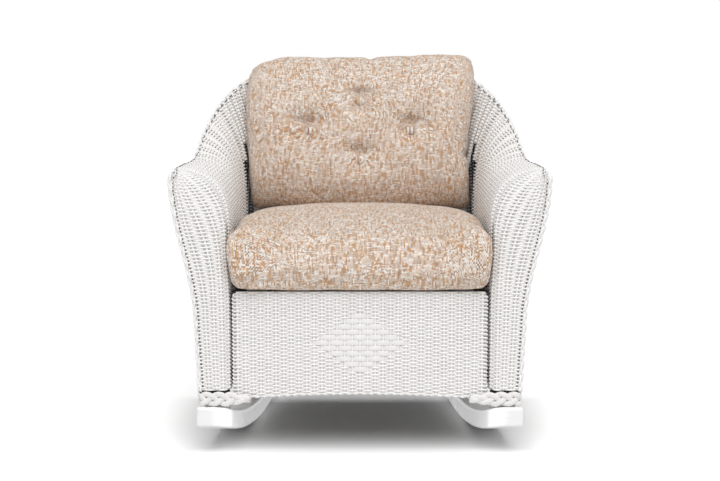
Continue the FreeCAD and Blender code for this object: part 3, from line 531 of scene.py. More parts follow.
def strand_skin():
    """Coated paper strand with painted shade: the colour darkens towards the Shade colour where the strand
    dives into the sheet, standing in for the shade in the weave's recesses.
    """
    inputs = {
        "Color": ("NodeSocketColor", (0.8, 0.8, 0.8, 1)),
        "Shade": ("NodeSocketColor", (0.2, 0.2, 0.2, 1)),
        "Deep": ("NodeSocketFloat", -2.6),
        "Proud": ("NodeSocketFloat", -0.2),
    }
    outputs = {"Color": "NodeSocketColor", "Roughness": "NodeSocketFloat", "Fibre": "NodeSocketFloat"}
    group, start, end = start_group("strand_skin", inputs, outputs)
    stand = add_node(group, "ShaderNodeAttribute", attribute_name="stand")
    span = {"From Min": start.outputs["Deep"], "From Max": start.outputs["Proud"]}
    level = add_node(
        group,
        "ShaderNodeMapRange",
        {"Value": stand.outputs["Fac"], **span},
        interpolation_type="SMOOTHSTEP",
    )
    place = add_node(group, "ShaderNodeTexCoord").outputs["Object"]
    fibre = add_node(group, "ShaderNodeTexNoise", {"Vector": place, "Scale": 900.0, "Detail": 3.0})
    patch = add_node(group, "ShaderNodeTexNoise", {"Vector": place, "Scale": 60.0, "Detail": 2.0})
    light = add_node(
        group, "ShaderNodeMapRange", {"Value": patch.outputs["Fac"], "To Min": 0.93, "To Max": 1.04}
    )
    tone = add_node(
        group,
        "ShaderNodeMix",
        {"Factor": level.outputs["Result"], "A": start.outputs["Shade"], "B": start.outputs["Color"]},
        data_type="RGBA",
    )
    toned = add_node(
        group,
        "ShaderNodeVectorMath",
        {0: tone.outputs["Result"], "Scale": light.outputs["Result"]},
        operation="SCALE",
    )
    rough = add_node(
        group, "ShaderNodeMapRange", {"Value": fibre.outputs["Fac"], "To Min": 0.45, "To Max": 0.62}
    )
    group.links.new(toned.outputs["Vector"], end.inputs["Color"])
    group.links.new(rough.outputs["Result"], end.inputs["Roughness"])
    group.links.new(fibre.outputs["Fac"], end.inputs["Fibre"])
    return group


strand_look = strand_skin()
strand_white = (0.87, 0.855, 0.84)


# shade is the painted shade colour that a strand takes where it dives deep into the sheet.
def strand_material(name, color, shade):
    material, tree, shader = start_material(name)
    skin = add_node(tree, "ShaderNodeGroup", node_tree=strand_look)
    skin.inputs["Color"].default_value = (*color, 1)
    skin.inputs["Shade"].default_value = (*shade, 1)
    tree.links.new(skin.outputs["Color"], shader.inputs["Base Color"])
    tree.links.new(skin.outputs["Roughness"], shader.inputs["Roughness"])
    add_bump(tree, shader, skin.outputs["Fibre"], 0.25, 0.0003)
    return material


# The seat-side sheets get a lighter painted shade than the fronts and the outside, so the sides of their
# strands stay pale where they are seen edge on.
woven_paper = strand_material("woven_paper", strand_white, (0.45, 0.43, 0.41))
seat_side_paper = strand_material("seat_side_paper", strand_white, (0.66, 0.64, 0.62))


def set_piece(piece, material, body, slot, *nodes):
    """Give a piece its finish, its body and the nodes that it stands for. The slot is not used."""
    piece.data.materials.clear()
    piece.data.materials.append(material)
    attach(piece, body)
    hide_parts(*nodes)


inner_count = 49
front_turn = 4.5
arm_end = 30.0
gap_middle = 31.5
back_start = 32.5
first_row_height = 0.003
tallest = 1.0
deck_row = deck_height - weave_foot + 0.004
gap_row_arm = 0.50
gap_row_back = 0.545
seat_rib = 0.0011
return_end = front_turn + 7
whole = 2 * inner_count
inner_pieces = {
    "arm_front_weave_right": [
        (0.0, front_turn, first_row_height, tallest, 0.0),
        (front_turn, return_end, first_row_height, deck_row, 0.0),
    ],
    "arm_front_weave_left": [
        (whole - front_turn, whole, first_row_height, tallest, 0.0),
        (whole - return_end, whole - front_turn, first_row_height, deck_row, 0.0),
    ],
    "inner_arm_weave_right": [(front_turn, arm_end, deck_row, tallest, seat_rib)],
    "inner_arm_weave_left": [(whole - arm_end, whole - front_turn, deck_row, tallest, seat_rib)],
    "inner_back_weave": [
        (back_start, whole - back_start, deck_row, tallest, seat_rib),
        (arm_end, gap_middle, gap_row_arm, tallest, seat_rib),
        (gap_middle, back_start, gap_row_back, tallest, seat_rib),
        (whole - back_start, whole - gap_middle, gap_row_back, tallest, seat_rib),
        (whole - gap_middle, whole - arm_end, gap_row_arm, tallest, seat_rib),
    ],
}
for node, panels in inner_pieces.items():
    name = node + "_strands"
    strands = [
        mesh
        for first, last, low, high, rib in panels
        for mesh in woven(name, inner_warp, inner_count, first, last, low, high, -1, rib)
    ]
    paper = woven_paper if "front" in node else seat_side_paper
    set_piece(join_meshes(name, *strands), paper, "frame", "woven_white", node)

# Weave, outside: a second loom sheet round the sides and the back, from the foot up to the rim.
# It is drawn in a little at its foot and flares out under the arms.
back_outer = 0.295
outer_corner = 0.120


def outer_legs(inset):
    half = side_half - inset
    back = back_outer - sheet / 2 - inset
    bend = outer_corner - inset
    front = rim_front + rim_gap
    turn = (half - bend, back - bend)
    return [
        (back - bend - front, lambda d: (half, front + d)),
        (
            bend * math.pi / 2,
            lambda d: (turn[0] + bend * math.cos(d / bend), turn[1] + bend * math.sin(d / bend)),
        ),
        (half - bend, lambda d: (half - bend - d, back)),
    ]


def outer_place(share, inset):
    legs = outer_legs(inset)
    return plan_path(legs, share * sum(length for length, _ in legs))


def outer_warp(share):
    """One warp of the outside sheet, from its foot up to the rim."""
    if share > 1:
        return outer_warp(2 - share) * (-1, 1, 1)
    foot = outer_place(share, side_tuck) + UP * weave_foot
    start = outer_place(share, 0) + UP * flare_start
    skip = rim_gap / rim_lengths[-1]
    along = skip + share * (1 - skip)
    end = rim(along)
    run = rim_heading(along)
    level = square_to(run, outward(np.zeros(3), end))
    stop = end - square_to(run, UP) * rim_gap + level * (back_step * ease(*back_shares, share))
    rise = end[2] - start[2]
    return np.vstack([foot, swing(start, start + UP * (0.37 * rise), stop - UP * (0.35 * rise), stop)])


outer_count = 56
outer_seam = 34.5
outer_pieces = {
    "outer_side_weave_right": (0.0, outer_seam),
    "outer_side_weave_left": (2 * outer_count - outer_seam, 2 * outer_count),
    "outer_back_weave": (outer_seam, 2 * outer_count - outer_seam),
}
for node, (first, last) in outer_pieces.items():
    name = node + "_strands"
    strands = woven(name, outer_warp, outer_count, first, last, first_row_height, tallest, 1)
    set_piece(join_meshes(name, *strands), woven_paper, "frame", "woven_white", node)

# Rim braid: a plait of three paper cords over the edge where the two sheets meet.
# It runs down the outer edge of both arm fronts, and is tacked through the weave to the tube.
braid_spot = np.array([0.0, 0.45, 0.35])


def rim_braid_line():
    foot = outer_place(0, side_tuck) + UP * weave_foot
    start = outer_place(0, 0) + UP * flare_start
    corner = rim(0.0)
    rise = corner[2] - start[2]
    edge = np.vstack([foot, swing(start, start + UP * (0.37 * rise), corner - UP * (0.35 * rise), corner)])
    edge[:, 1] = rim_front
    edge = edge[edge[:, 2] < corner[2] - 2 * braid_radius]
    nose = corner + np.array([0, 0.1, -0.1]) * braid_radius
    half = np.vstack([edge, nose, rim(np.linspace(0.015, 1, 160))])
    return np.vstack([half, half[-2::-1] * (-1, 1, 1)])


def even_line(line, step):
    """The same line with evenly spaced points, and the heading at each."""
    lengths = line_lengths(line)
    spine = at_length(line, lengths, np.linspace(0, lengths[-1], round(lengths[-1] / step)))
    heading = np.gradient(spine, axis=0)
    return spine, heading / np.linalg.norm(heading, axis=1, keepdims=True)


def plait(name, spine, heading, out, sway, lift, cord, cycle, size, flat):
    """Three cords plaited along a line. size scales the plait at each point, and flat presses the cords."""
    out = out - heading * (out * heading).sum(1, keepdims=True)
    out /= np.linalg.norm(out, axis=1, keepdims=True)
    side = np.cross(heading, out)
    lengths = line_lengths(spine)
    angle = 2 * math.pi * round(lengths[-1] / cycle) * lengths / lengths[-1]
    lines = []
    for k in range(3):
        turn = angle + 2 * math.pi * k / 3
        swung = side * (sway * np.cos(turn) * size)[:, None]
        raised = out * (lift / flat * np.sin(2 * turn))[:, None]
        lines.append(spine + swung + raised)
    mesh = tubes(name, lines, cord, 2)
    sides = len(mesh.vertices) // (3 * len(spine))
    co = points_of(mesh)
    base = np.repeat(np.vstack([spine] * 3), sides, axis=0)
    normal = np.repeat(np.vstack([out] * 3), sides, axis=0)
    stand = ((co - base) * normal).sum(1, keepdims=True)
    mesh.vertices.foreach_set("co", (co + normal * stand * (flat - 1)).astype(np.float32).ravel())
    return mesh


# The cords take painted shade from the strand skin where they dip between each other.
cord_paper = strand_material("cord_paper", (0.87, 0.86, 0.85), (0.5, 0.49, 0.48))
spine, heading = even_line(rim_braid_line(), 0.004)
full = np.ones(len(spine))
rim_plait = {"sway": 0.0038, "lift": 0.0022, "cord": 0.0031, "cycle": 0.088, "size": full, "flat": 1.0}
braid = plait("rim_braid_cords", spine, heading, spine - braid_spot, **rim_plait)
set_piece(join_meshes("rim_braid_cords", braid), cord_paper, "frame", "braid_white", "rim_braid")

# Braid gaps: beside the braid the wefts turn back round the last warp and leave small holes in shade. These
# are drawn as short dark strands along the edge of the weave: painted shade for the shadowed holes.
gap_radius = 0.0011
gap_stand = 0.0024
rim_gap_stand = 0.0042
gap_column = 0.16
gap_length = 0.0045
rim_gap_back = 0.006


def edge_spot(column, length, stand):
    """A point of the seat-side face, by warp number and length up the warp, or back from its end."""
    warp = inner_warp(column / inner_count)
    beside = inner_warp((column + 0.05) / inner_count)
    spans = line_lengths(warp)
    place = length if length > 0 else spans[-1] + length
    here = at_length(warp, spans, place)
    up = at_length(warp, spans, place + 0.001) - at_length(warp, spans, place - 0.001)
    across = at_length(beside, line_lengths(beside), place) - here
    return here - unit(np.cross(across, up)) * stand


gap_lines = []
for low in np.arange(0.012, 0.50, 2 * weft_pitch):
    for column in (gap_column, whole - gap_column):
        gap_lines.append([edge_spot(column, low + up, gap_stand) for up in (0.0, gap_length)])
for number in range(1, whole):
    gap_lines.append([edge_spot(number + side, -rim_gap_back, rim_gap_stand) for side in (0.30, 0.50, 0.70)])
gaps = join_meshes("braid_gaps", tubes("braid_gaps", gap_lines, gap_radius))
# A near-black finish, painted shade for the holes.
gap_painted_shade, _, gap_shader = start_material("braid_gap_painted_shade", Roughness=0.8)
gap_shader.inputs["Base Color"].default_value = (0.05, 0.05, 0.05, 1)
set_piece(gaps, gap_painted_shade, "frame", "frame_aluminium")

# Foot braid: a broad flat plait that binds the foot of the weave and hides its cut ends.
# It starts in front beside the skirt, where its ends run out along the skirt's foot.
boot_low = 0.1125
boot_height = 0.037
boot_depth = 0.010
boot_tail = 0.045


def foot_braid_line():
    half = side_half - side_tuck + braid_radius - boot_depth / 2
    front = arm_front - braid_radius / 2 + boot_depth / 2
    back = back_outer - sheet / 2 - side_tuck + braid_radius - boot_depth / 2
    near = 0.011
    far = outer_corner - side_tuck + braid_radius - boot_depth / 2
    turn = np.linspace(0, math.pi / 2, 13)
    nose = np.c_[half - near + near * np.sin(turn), front + near - near * np.cos(turn)]
    heel = np.c_[half - far + far * np.cos(turn), back - far + far * np.sin(turn)]
    plan = np.vstack([[(seat_half - boot_tail, front)], nose, heel, [(0.0, back)]])
    line = np.c_[plan, np.full(len(plan), boot_low + boot_height / 2)]
    return np.vstack([line, line[-2::-1] * (-1, 1, 1)])


spine, heading = even_line(foot_braid_line(), 0.004)
tail = ease(seat_half - boot_tail, seat_half + 0.012, np.abs(spine[:, 0]) + (spine[:, 1] > arm_front + 0.02))
size = 0.25 + 0.75 * tail
foot_plait = {"sway": 0.0115, "lift": 0.0018, "cord": 0.0068, "cycle": 0.086, "size": size, "flat": 0.42}
boot = plait("foot_braid_cords", spine, heading, np.cross(heading, UP), **foot_plait)
# The foot braid's strands and their shade colour are darker than the rim braid's: painted shade for the
# shadow under the arm flare and round the foot.
boot_paper_painted_shade = strand_material("boot_paper_painted_shade", (0.79, 0.775, 0.76), (0.36, 0.34, 0.33))
set_piece(join_meshes("foot_braid_cords", boot), boot_paper_painted_shade, "frame", "braid_white", "foot_braid")

# Skirt: a separate woven panel below the seat, stapled to a batten along its top and its foot.
# One weft runs to and fro across 33 warps. Broad flat strips worked over them make the diamond.
skirt_face = -0.3905
skirt_half = 0.2965
skirt_top = 0.3835
skirt_corner = 0.014
skirt_foot = 0.130
skirt_arch = 0.012
skirt_rows = 57
skirt_warps = 16
skirt_pitch = 0.0178
diamond_first = 12
strip_rows = 3
strip_count = 11
strip_shade_stand = -0.65
strip_half_width = 0.0056
strip_half_thick = 0.0007


def skirt_height(row, x):
    """Height of a row, counted from the top: level there, arched at the foot."""
    foot = skirt_foot + skirt_arch * (1 - (x / skirt_half) ** 2)
    return skirt_top + (foot - skirt_top) * (row + 0.5) / skirt_rows


def skirt_reach(row):
    """Half the length of a row, less at the rounded upper corners."""
    up = max(skirt_height(row, skirt_half) - (skirt_top - skirt_corner), 0.0)
    rounding = math.sqrt(skirt_corner**2 - min(up, skirt_corner) ** 2)
    return skirt_half - weft_pitch / 2 - skirt_corner + rounding


def strip_blocks(row):
    """Blocks of the diamond in a row, or 0."""
    strip = (row - diamond_first) // strip_rows
    return min(strip + 1, strip_count - strip) if 0 <= strip < strip_count else 0


def skirt_weft():
    numbers = np.arange(-skirt_warps, skirt_warps + 1)
    columns = np.unique(np.r_[numbers - weft_grip, numbers + weft_grip, numbers[:-1] + 0.5].round(6))
    nearest = np.round(columns).astype(int)
    held = np.abs(columns - nearest) < 0.4
    points = []
    for row in range(skirt_rows):
        over = np.where((nearest + row) % 2 == 0, 1.0, -1.0) * held
        blocks = strip_blocks(row)
        over[np.abs(columns) <= (blocks + 0.3 if blocks else -1)] = -1.3
        reach = skirt_reach(row)
        x = (columns * skirt_pitch).clip(-reach, reach)
        x[[0, -1]] = -reach, reach
        line = np.c_[x, skirt_face - over * weave_swing, skirt_height(row, x)]
        line = line if row % 2 == 0 else line[::-1]
        points.append(line)
        turn_x = line[-1, 0] + math.copysign(weft_pitch / 2, line[-1, 0])
        points.append([(turn_x, skirt_face, skirt_height(row + 0.5, turn_x))])
    return np.vstack(points[:-1])


def skirt_edge():
    """The last weft, looped round the foot of every warp."""
    x = np.linspace(-skirt_half, skirt_half, 33 * 8 + 1)
    lift = 0.0012 * np.cos(2 * math.pi * x / skirt_pitch)
    return np.c_[x, np.full(len(x), skirt_face), skirt_height(skirt_rows - 0.5, x) + lift]


def skirt_strip(strip):
    """One flat strip of the diamond, over some warps and behind those that show."""
    blocks = min(strip + 1, strip_count - strip)
    points = [(-blocks - 0.35, -0.0015)]
    for warp in range(-blocks, blocks + 1, 2):
        points += [(warp - 0.12, -0.0006), (warp + 0.12, -0.0006)]
        if warp < blocks:
            points += [(warp + 0.36, 0.0024), (warp + 1, 0.0032), (warp + 1.64, 0.0024)]
    points.append((blocks + 0.35, -0.0015))
    curve = bpy.data.curves.new("strip", "CURVE")
    curve.dimensions = "3D"
    curve.twist_mode = "Z_UP"
    curve.extrude = strip_half_width
    curve.bevel_depth = strip_half_thick
    curve.bevel_resolution = 1
    spline = curve.splines.new("POLY")
    spline.points.add(len(points) - 1)
    for point, (warp, stand) in zip(spline.points, points):
        point.co = (warp * skirt_pitch, skirt_face - stand, 0, 1)
    holder = bpy.data.objects.new("strip", curve)
    mesh = bpy.data.meshes.new_from_object(holder)
    bpy.data.objects.remove(holder)
    bpy.data.curves.remove(curve)
    middle = diamond_first + strip_rows * strip + (strip_rows - 1) / 2
    mesh.transform(Matrix.Translation((0, 0, skirt_height(middle, 0.0))))
    # Each strip gets a fixed stand below the sheet, so the strand skin mixes a little painted shade into it
    # and tones its flat face down to the weave.
    depth = mesh.attributes.new("stand", "FLOAT", "POINT")
    depth.data.foreach_set("value", np.full(len(mesh.vertices), strip_shade_stand, np.float32))
    return mesh


def skirt_stakes():
    rows = np.arange(-0.4, skirt_rows, 2)
    lines = []
    for warp in range(-skirt_warps, skirt_warps + 1):
        x = np.full(len(rows), warp * skirt_pitch)
        line = np.c_[x, np.full(len(rows), skirt_face), skirt_height(rows, x)]
        lines.append(line[np.abs(x) < [skirt_reach(max(r, 0)) + 0.004 for r in rows]])
    return lines


skirt_strands = [
    tubes("skirt_weft", [skirt_weft()], weft_radius),
    tubes("skirt_edge", [skirt_edge()], 1.15 * weft_radius),
    tubes("skirt_stakes", skirt_stakes(), warp_radius),
]
for mesh in skirt_strands:
    count = len(mesh.vertices)
    mark_depth(mesh, np.tile([0.0, skirt_face, 0.0], (count, 1)), np.tile([0.0, -1.0, 0.0], (count, 1)))
skirt_strips = [skirt_strip(strip) for strip in range(strip_count)]
skirt = join_meshes("front_skirt_strands", *skirt_strands, *skirt_strips)
set_piece(skirt, woven_paper, "frame", "woven_white", "front_skirt")


# Cushion covers: a tweed of tan, beige and off-white slub yarns, sewn as a bag round each foam core.
# The covers are blown up by cloth simulation from the cores, held where they rest and at the tufts.
yarn_pitch = 0.0032
slub_lengths = {"Y": 4.6, "X": 2.4}
warp_paler = 0.20
yarn_stray = 0.15


def tweed_weave():
    """Plain weave of slub yarns on a flat place in metres: colour, and the height of the yarns."""
    inputs = {"Place": ("NodeSocketVector", (0, 0, 0)), "Pitch": ("NodeSocketFloat", yarn_pitch)}
    outputs = {"Color": "NodeSocketColor", "Height": "NodeSocketFloat"}
    group, start, end = start_group("tweed_weave", inputs, outputs)
    count = add_node(group, "ShaderNodeMath", {0: 1.0, 1: start.outputs["Pitch"]}, operation="DIVIDE")
    yarns = add_node(
        group,
        "ShaderNodeVectorMath",
        {0: start.outputs["Place"], "Scale": count.outputs[0]},
        operation="SCALE",
    )
    wander = add_node(group, "ShaderNodeTexNoise", {"Vector": yarns.outputs[0], "Scale": 0.12, "Detail": 2.0})
    stray = add_node(
        group, "ShaderNodeVectorMath", {0: wander.outputs["Color"], "Scale": yarn_stray}, operation="SCALE"
    )
    bent = add_node(group, "ShaderNodeVectorMath", {0: yarns.outputs[0], 1: stray.outputs[0]})
    axes = add_node(group, "ShaderNodeSeparateXYZ", {"Vector": bent.outputs[0]})
    tones = []
    ridges = []
    numbers = []
    for along, across, shift in (("Y", "X", 0.0), ("X", "Y", 57.0)):
        number = add_node(group, "ShaderNodeMath", {0: axes.outputs[across]}, operation="FLOOR")
        chance = add_node(group, "ShaderNodeTexWhiteNoise", {"W": number.outputs[0]}, noise_dimensions="1D")
        slow = add_node(
            group,
            "ShaderNodeMath",
            {0: axes.outputs[along], 1: 1 / slub_lengths[along], 2: chance.outputs["Value"]},
            operation="MULTIPLY_ADD",
        )
        stretch = add_node(group, "ShaderNodeMath", {0: slow.outputs[0]}, operation="FLOOR")
        spot = add_node(
            group, "ShaderNodeCombineXYZ", {"X": number.outputs[0], "Y": stretch.outputs[0], "Z": shift}
        )
        slub = add_node(group, "ShaderNodeTexWhiteNoise", {"Vector": spot.outputs[0]}, noise_dimensions="3D")
        inside = add_node(group, "ShaderNodeMath", {0: axes.outputs[across], 1: 1.0}, operation="PINGPONG")
        paler = warp_paler if along == "Y" else -warp_paler
        tone = add_node(group, "ShaderNodeMath", {0: slub.outputs["Value"], 1: paler})
        tones.append(tone.outputs[0])
        ridges.append(inside.outputs[0])
        numbers.append(number.outputs[0])
    total = add_node(group, "ShaderNodeMath", {0: numbers[0], 1: numbers[1]})
    above = add_node(group, "ShaderNodeMath", {0: total.outputs[0], 1: 2.0}, operation="FLOORED_MODULO")
    tone = add_node(group, "ShaderNodeMix", {"Factor": above.outputs[0], "A": tones[0], "B": tones[1]})
    ridge = add_node(group, "ShaderNodeMix", {"Factor": above.outputs[0], "A": ridges[0], "B": ridges[1]})
    color = add_node(group, "ShaderNodeValToRGB", {"Fac": tone.outputs["Result"]})
    brown, tan = (0.30, 0.19, 0.13), (0.58, 0.345, 0.19)
    beige, off_white = (0.62, 0.485, 0.375), (0.80, 0.76, 0.72)
    shades = [(0.11, brown), (0.17, tan), (0.38, tan), (0.42, beige), (0.60, beige), (0.67, off_white)]
    ramp = color.color_ramp
    ramp.elements.remove(ramp.elements[1])
    ramp.elements[0].position = shades[0][0]
    ramp.elements[0].color = (*shades[0][1], 1)
    for position, shade in shades[1:]:
        ramp.elements.new(position).color = (*shade, 1)
    height = add_node(group, "ShaderNodeMath", {0: tone.outputs["Result"], 1: ridge.outputs["Result"]})
    group.links.new(color.outputs["Color"], end.inputs["Color"])
    group.links.new(height.outputs[0], end.inputs["Height"])
    return group


tweed = tweed_weave()


def tweed_material(name, place_node, place_output, **place_settings):
    material, tree, shader = start_material(name, Roughness=0.92, Sheen_Weight=0.15)
    shader.inputs["Specular IOR Level"].default_value = 0.2
    place = add_node(tree, place_node, **place_settings)
    cloth = add_node(tree, "ShaderNodeGroup", node_tree=tweed)
    tree.links.new(place.outputs[place_output], cloth.inputs["Place"])
    tree.links.new(cloth.outputs["Color"], shader.inputs["Base Color"])
    add_bump(tree, shader, cloth.outputs["Height"], 0.5, 0.0008)
    return material


tweed_cover = tweed_material("tweed_cover", "ShaderNodeAttribute", "Vector", attribute_name="cloth")


def normals_of(mesh):
    co = np.empty(len(mesh.vertices) * 3, np.float32)
    mesh.vertex_normals.foreach_get("vector", co)
    return co.reshape(-1, 3).astype(float)


def applied(piece):
    """The mesh of a piece with its modifiers applied."""
    evaluated = piece.evaluated_get(bpy.context.evaluated_depsgraph_get())
    return bpy.data.meshes.new_from_object(evaluated)


skin_voxel = 0.006
swell_pressure = 4.0
swell_frames = 20


def foam_copy(name, node, voxel):
    """A closed and evenly divided skin from a copy of a foam core."""
    shape = bmesh.new()
    shape.from_mesh(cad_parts[node].data)
    bmesh.ops.remove_doubles(shape, verts=shape.verts, dist=0.00002)
    mesh = bpy.data.meshes.new(name)
    shape.to_mesh(mesh)
    shape.free()
    piece = bpy.data.objects.new(name, mesh)
    bpy.context.scene.collection.objects.link(piece)
    remesh = piece.modifiers.new("even", "REMESH")
    remesh.mode = "VOXEL"
    remesh.voxel_size = voxel
    piece.data = applied(piece)
    piece.modifiers.clear()
    return piece


def swell(piece, rise, pressure, held, cap):
    """Thicken a skin, then blow it up as cloth. Held points stay, and no point moves past its cap."""
    rest = points_of(piece.data) + normals_of(piece.data) * (rise * ~held)[:, None]
    piece.data.vertices.foreach_set("co", rest.astype(np.float32).ravel())
    piece.data.update()
    move = np.zeros_like(rest)
    group = piece.vertex_groups.new(name="held")
    group.add(np.flatnonzero(held).tolist(), 1.0, "REPLACE")
    cloth = piece.modifiers.new("swell", "CLOTH")
    cloth.settings.use_pressure = True
    cloth.settings.uniform_pressure_force = pressure
    cloth.settings.effector_weights.gravity = 0.0
    cloth.settings.vertex_group_mass = "held"
    for step in range(1, swell_frames + 1):
        bpy.context.scene.frame_set(step)
    move = points_of(applied(piece)) - rest
    piece.modifiers.clear()
    piece.vertex_groups.clear()
    bpy.context.scene.frame_set(1)
    far = np.linalg.norm(move, axis=1).clip(1e-9)
    place = rest + move * np.minimum(1.0, cap / far)[:, None]
    piece.data.vertices.foreach_set("co", place.astype(np.float32).ravel())
    finer = piece.modifiers.new("smooth", "SUBSURF")
    finer.levels = finer.render_levels = 1
    piece.data = applied(piece)
    piece.modifiers.clear()
    piece.data.shade_smooth()
    return points_of(piece.data), normals_of(piece.data)


def lay_cloth(piece, place, normal):
    """Store where each point of a skin lies on the flat cloth, from the front round to the back."""
    side = normal[:, 0] ** 2 / (normal[:, 0] ** 2 + normal[:, 2] ** 2 + 0.05)
    depth = place[:, 1] - place[:, 1].min()
    across = place[:, 0] + np.sign(place[:, 0]) * depth * side
    along = place[:, 2] + depth * (1 - side) * (2 * normal[:, 2]).clip(-1, 1)
    flat = piece.data.attributes.new("cloth", "FLOAT_VECTOR", "POINT")
    flat.data.foreach_set("vector", np.c_[across, along, np.zeros(len(place))].astype(np.float32).ravel())


def shape_skin(piece, place):
    piece.data.vertices.foreach_set("co", place.astype(np.float32).ravel())
    piece.data.update()


# Seat cushion: a loose foam slab with a crowned top and a rounded front, laid on the webbing.
# Its cover is full and tight, swells in front of the arms, and hangs a little over the skirt.
seat_skin = foam_copy("seat_cushion_skin", "seat_cushion_core", skin_voxel)
place = points_of(seat_skin.data)
low = place[:, 2] < deck_height + 0.008
beside = np.abs(place[:, 0]) > seat_half - 0.030
behind = place[:, 1] > 0.10
cap = np.where(beside, 0.0015, np.where(behind, 0.003, 0.008))
place, normal = swell(seat_skin, 0.003, swell_pressure, low, cap)
lay_cloth(seat_skin, place, normal)

end_rise = 0.010
front_end_rise = 0.026
ends = ease(0.16, 0.285, np.abs(place[:, 0]))
full = end_rise + front_end_rise * ease(0.0, 0.28, -place[:, 1])
place[:, 2] += ends * (ease(0.42, 0.49, place[:, 2]) * full)

nose_push = 0.010
corner_push = 0.010
push = nose_push + corner_push * ease(0.20, 0.29, np.abs(place[:, 0]))
place[:, 1] -= ease(0.30, 0.39, -place[:, 1]) * push

levels = [0.40, 0.43, 0.45, 0.475, 0.51, 0.53]
spread_left = np.interp(place[:, 2], levels, [0.0, 0.004, 0.016, 0.032, 0.034, 0.030])
spread_right = np.interp(place[:, 2], levels, [0.0, 0.004, 0.014, 0.022, 0.024, 0.012])
spread = np.where(place[:, 0] < 0, spread_left, spread_right)
place[:, 0] *= 1 + spread * ease(0.372, 0.392, -place[:, 1])

crown_rise = 0.006
crown = (1 - (place[:, 0] / seat_half) ** 2).clip(0, 1)
place[:, 2] += crown_rise * crown * ease(0.46, 0.53, place[:, 2])
lip_hang = 0.003
hang = ease(0.388, 0.41, -place[:, 1]) * (1 - ease(0.39, 0.45, place[:, 2]))
place[:, 2] -= lip_hang * hang * (1 - ease(0.22, 0.29, np.abs(place[:, 0])))
shape_skin(seat_skin, place)
set_piece(seat_skin, tweed_cover, "seat_cushion", "tweed", "seat_cushion_cover", "seat_cushion_core")

# Back cushion: a thicker loose cushion, drawn in by four pairs of covered buttons on cords.
# It is softer than the seat: fuller above, slack at one top corner, and folded at its foot.
tufts = [(0.0, 0.653), (0.130, 0.727), (-0.130, 0.727), (0.0, 0.801)]
tuft_hold = 0.012
tuft_depth = 0.016
tuft_dish = 0.006
corner_full = 0.016
corner_drop = 0.018
corner_lift = 0.006
top_notch = 0.006
side_notch = 0.005
fold_depth = 0.009
crease_depth = 0.002
back_skin = foam_copy("back_cushion_skin", "back_cushion_core", skin_voxel)
place = points_of(back_skin.data)
near_tuft = np.min([np.hypot(place[:, 0] - x, place[:, 2] - z) for x, z in tufts], axis=0)
cap = np.where(normals_of(back_skin.data)[:, 1] > 0.3, 0.002, 0.006)
place, normal = swell(back_skin, 0.005, swell_pressure, near_tuft < tuft_hold, cap)
lay_cloth(back_skin, place, normal)
front = (-normal[:, 1]).clip(0, 1)
corner = 4 * (normal[:, 0] * normal[:, 2]) ** 2 * (1 - ease(0.52, 0.60, place[:, 2]))
place += normal * (corner_full * corner)[:, None]


def bump_at(x, z, wide, tall):
    """A soft oval hill, 1 at its middle."""
    return np.exp(-(((place[:, 0] - x) / wide) ** 2) - ((place[:, 2] - z) / tall) ** 2)


for x, z in tufts:
    place[:, 1] += tuft_depth * front * bump_at(x, z + 0.020, 0.030, 0.016)
    place[:, 1] += tuft_dish * front * bump_at(x, z + 0.024, 0.060, 0.030)
levels = [0.53, 0.60, 0.66, 0.72, 0.78, 0.84, 0.90]
reach_now = [np.abs(place[np.abs(place[:, 2] - level) < 0.02, 0]).max() for level in levels]
reach_left = [0.286, 0.289, 0.293, 0.298, 0.300, 0.298, 0.294]
reach_right = [0.290, 0.286, 0.281, 0.287, 0.295, 0.303, 0.304]
reach = np.where(
    place[:, 0] < 0, np.interp(place[:, 2], levels, reach_left), np.interp(place[:, 2], levels, reach_right)
)
place[:, 0] *= reach / np.interp(place[:, 2], levels, reach_now)
place[:, 2] -= corner_drop * ease(0.19, 0.29, -place[:, 0]) * ease(0.82, 0.91, place[:, 2])
place[:, 2] += corner_lift * ease(0.00, 0.20, place[:, 0]) * ease(0.82, 0.91, place[:, 2])
place[:, 2] -= top_notch * np.exp(-(((place[:, 0] - 0.028) / 0.012) ** 2)) * ease(0.87, 0.90, place[:, 2])
place[:, 0] -= side_notch * np.exp(-(((place[:, 2] - 0.663) / 0.010) ** 2)) * ease(0.24, 0.28, place[:, 0])
for x, z in ((-0.100, 0.552), (0.015, 0.560)):
    place[:, 1] += fold_depth * front * bump_at(x, z, 0.007, 0.016)
place[:, 1] += crease_depth * front * bump_at(-0.003, 0.624, 0.004, 0.016)
shape_skin(back_skin, place)
set_piece(back_skin, tweed_cover, "back_cushion", "tweed", "back_cushion_cover", "back_cushion_core")

# Tuft buttons: metal shells covered with the same tweed, one in front and one behind on each cord.
# The cords run through the foam and draw each pair together.
tweed_button = tweed_material("tweed_button", "ShaderNodeTexCoord", "Object")
dress(tweed_button, "tuft_buttons_front", "tuft_buttons_rear")
cord_material, _, cord_shader = start_material("tuft_cord", Roughness=0.7)
cord_shader.inputs["Base Color"].default_value = (0.5, 0.42, 0.34, 1)
dress(cord_material, "tuft_cords")

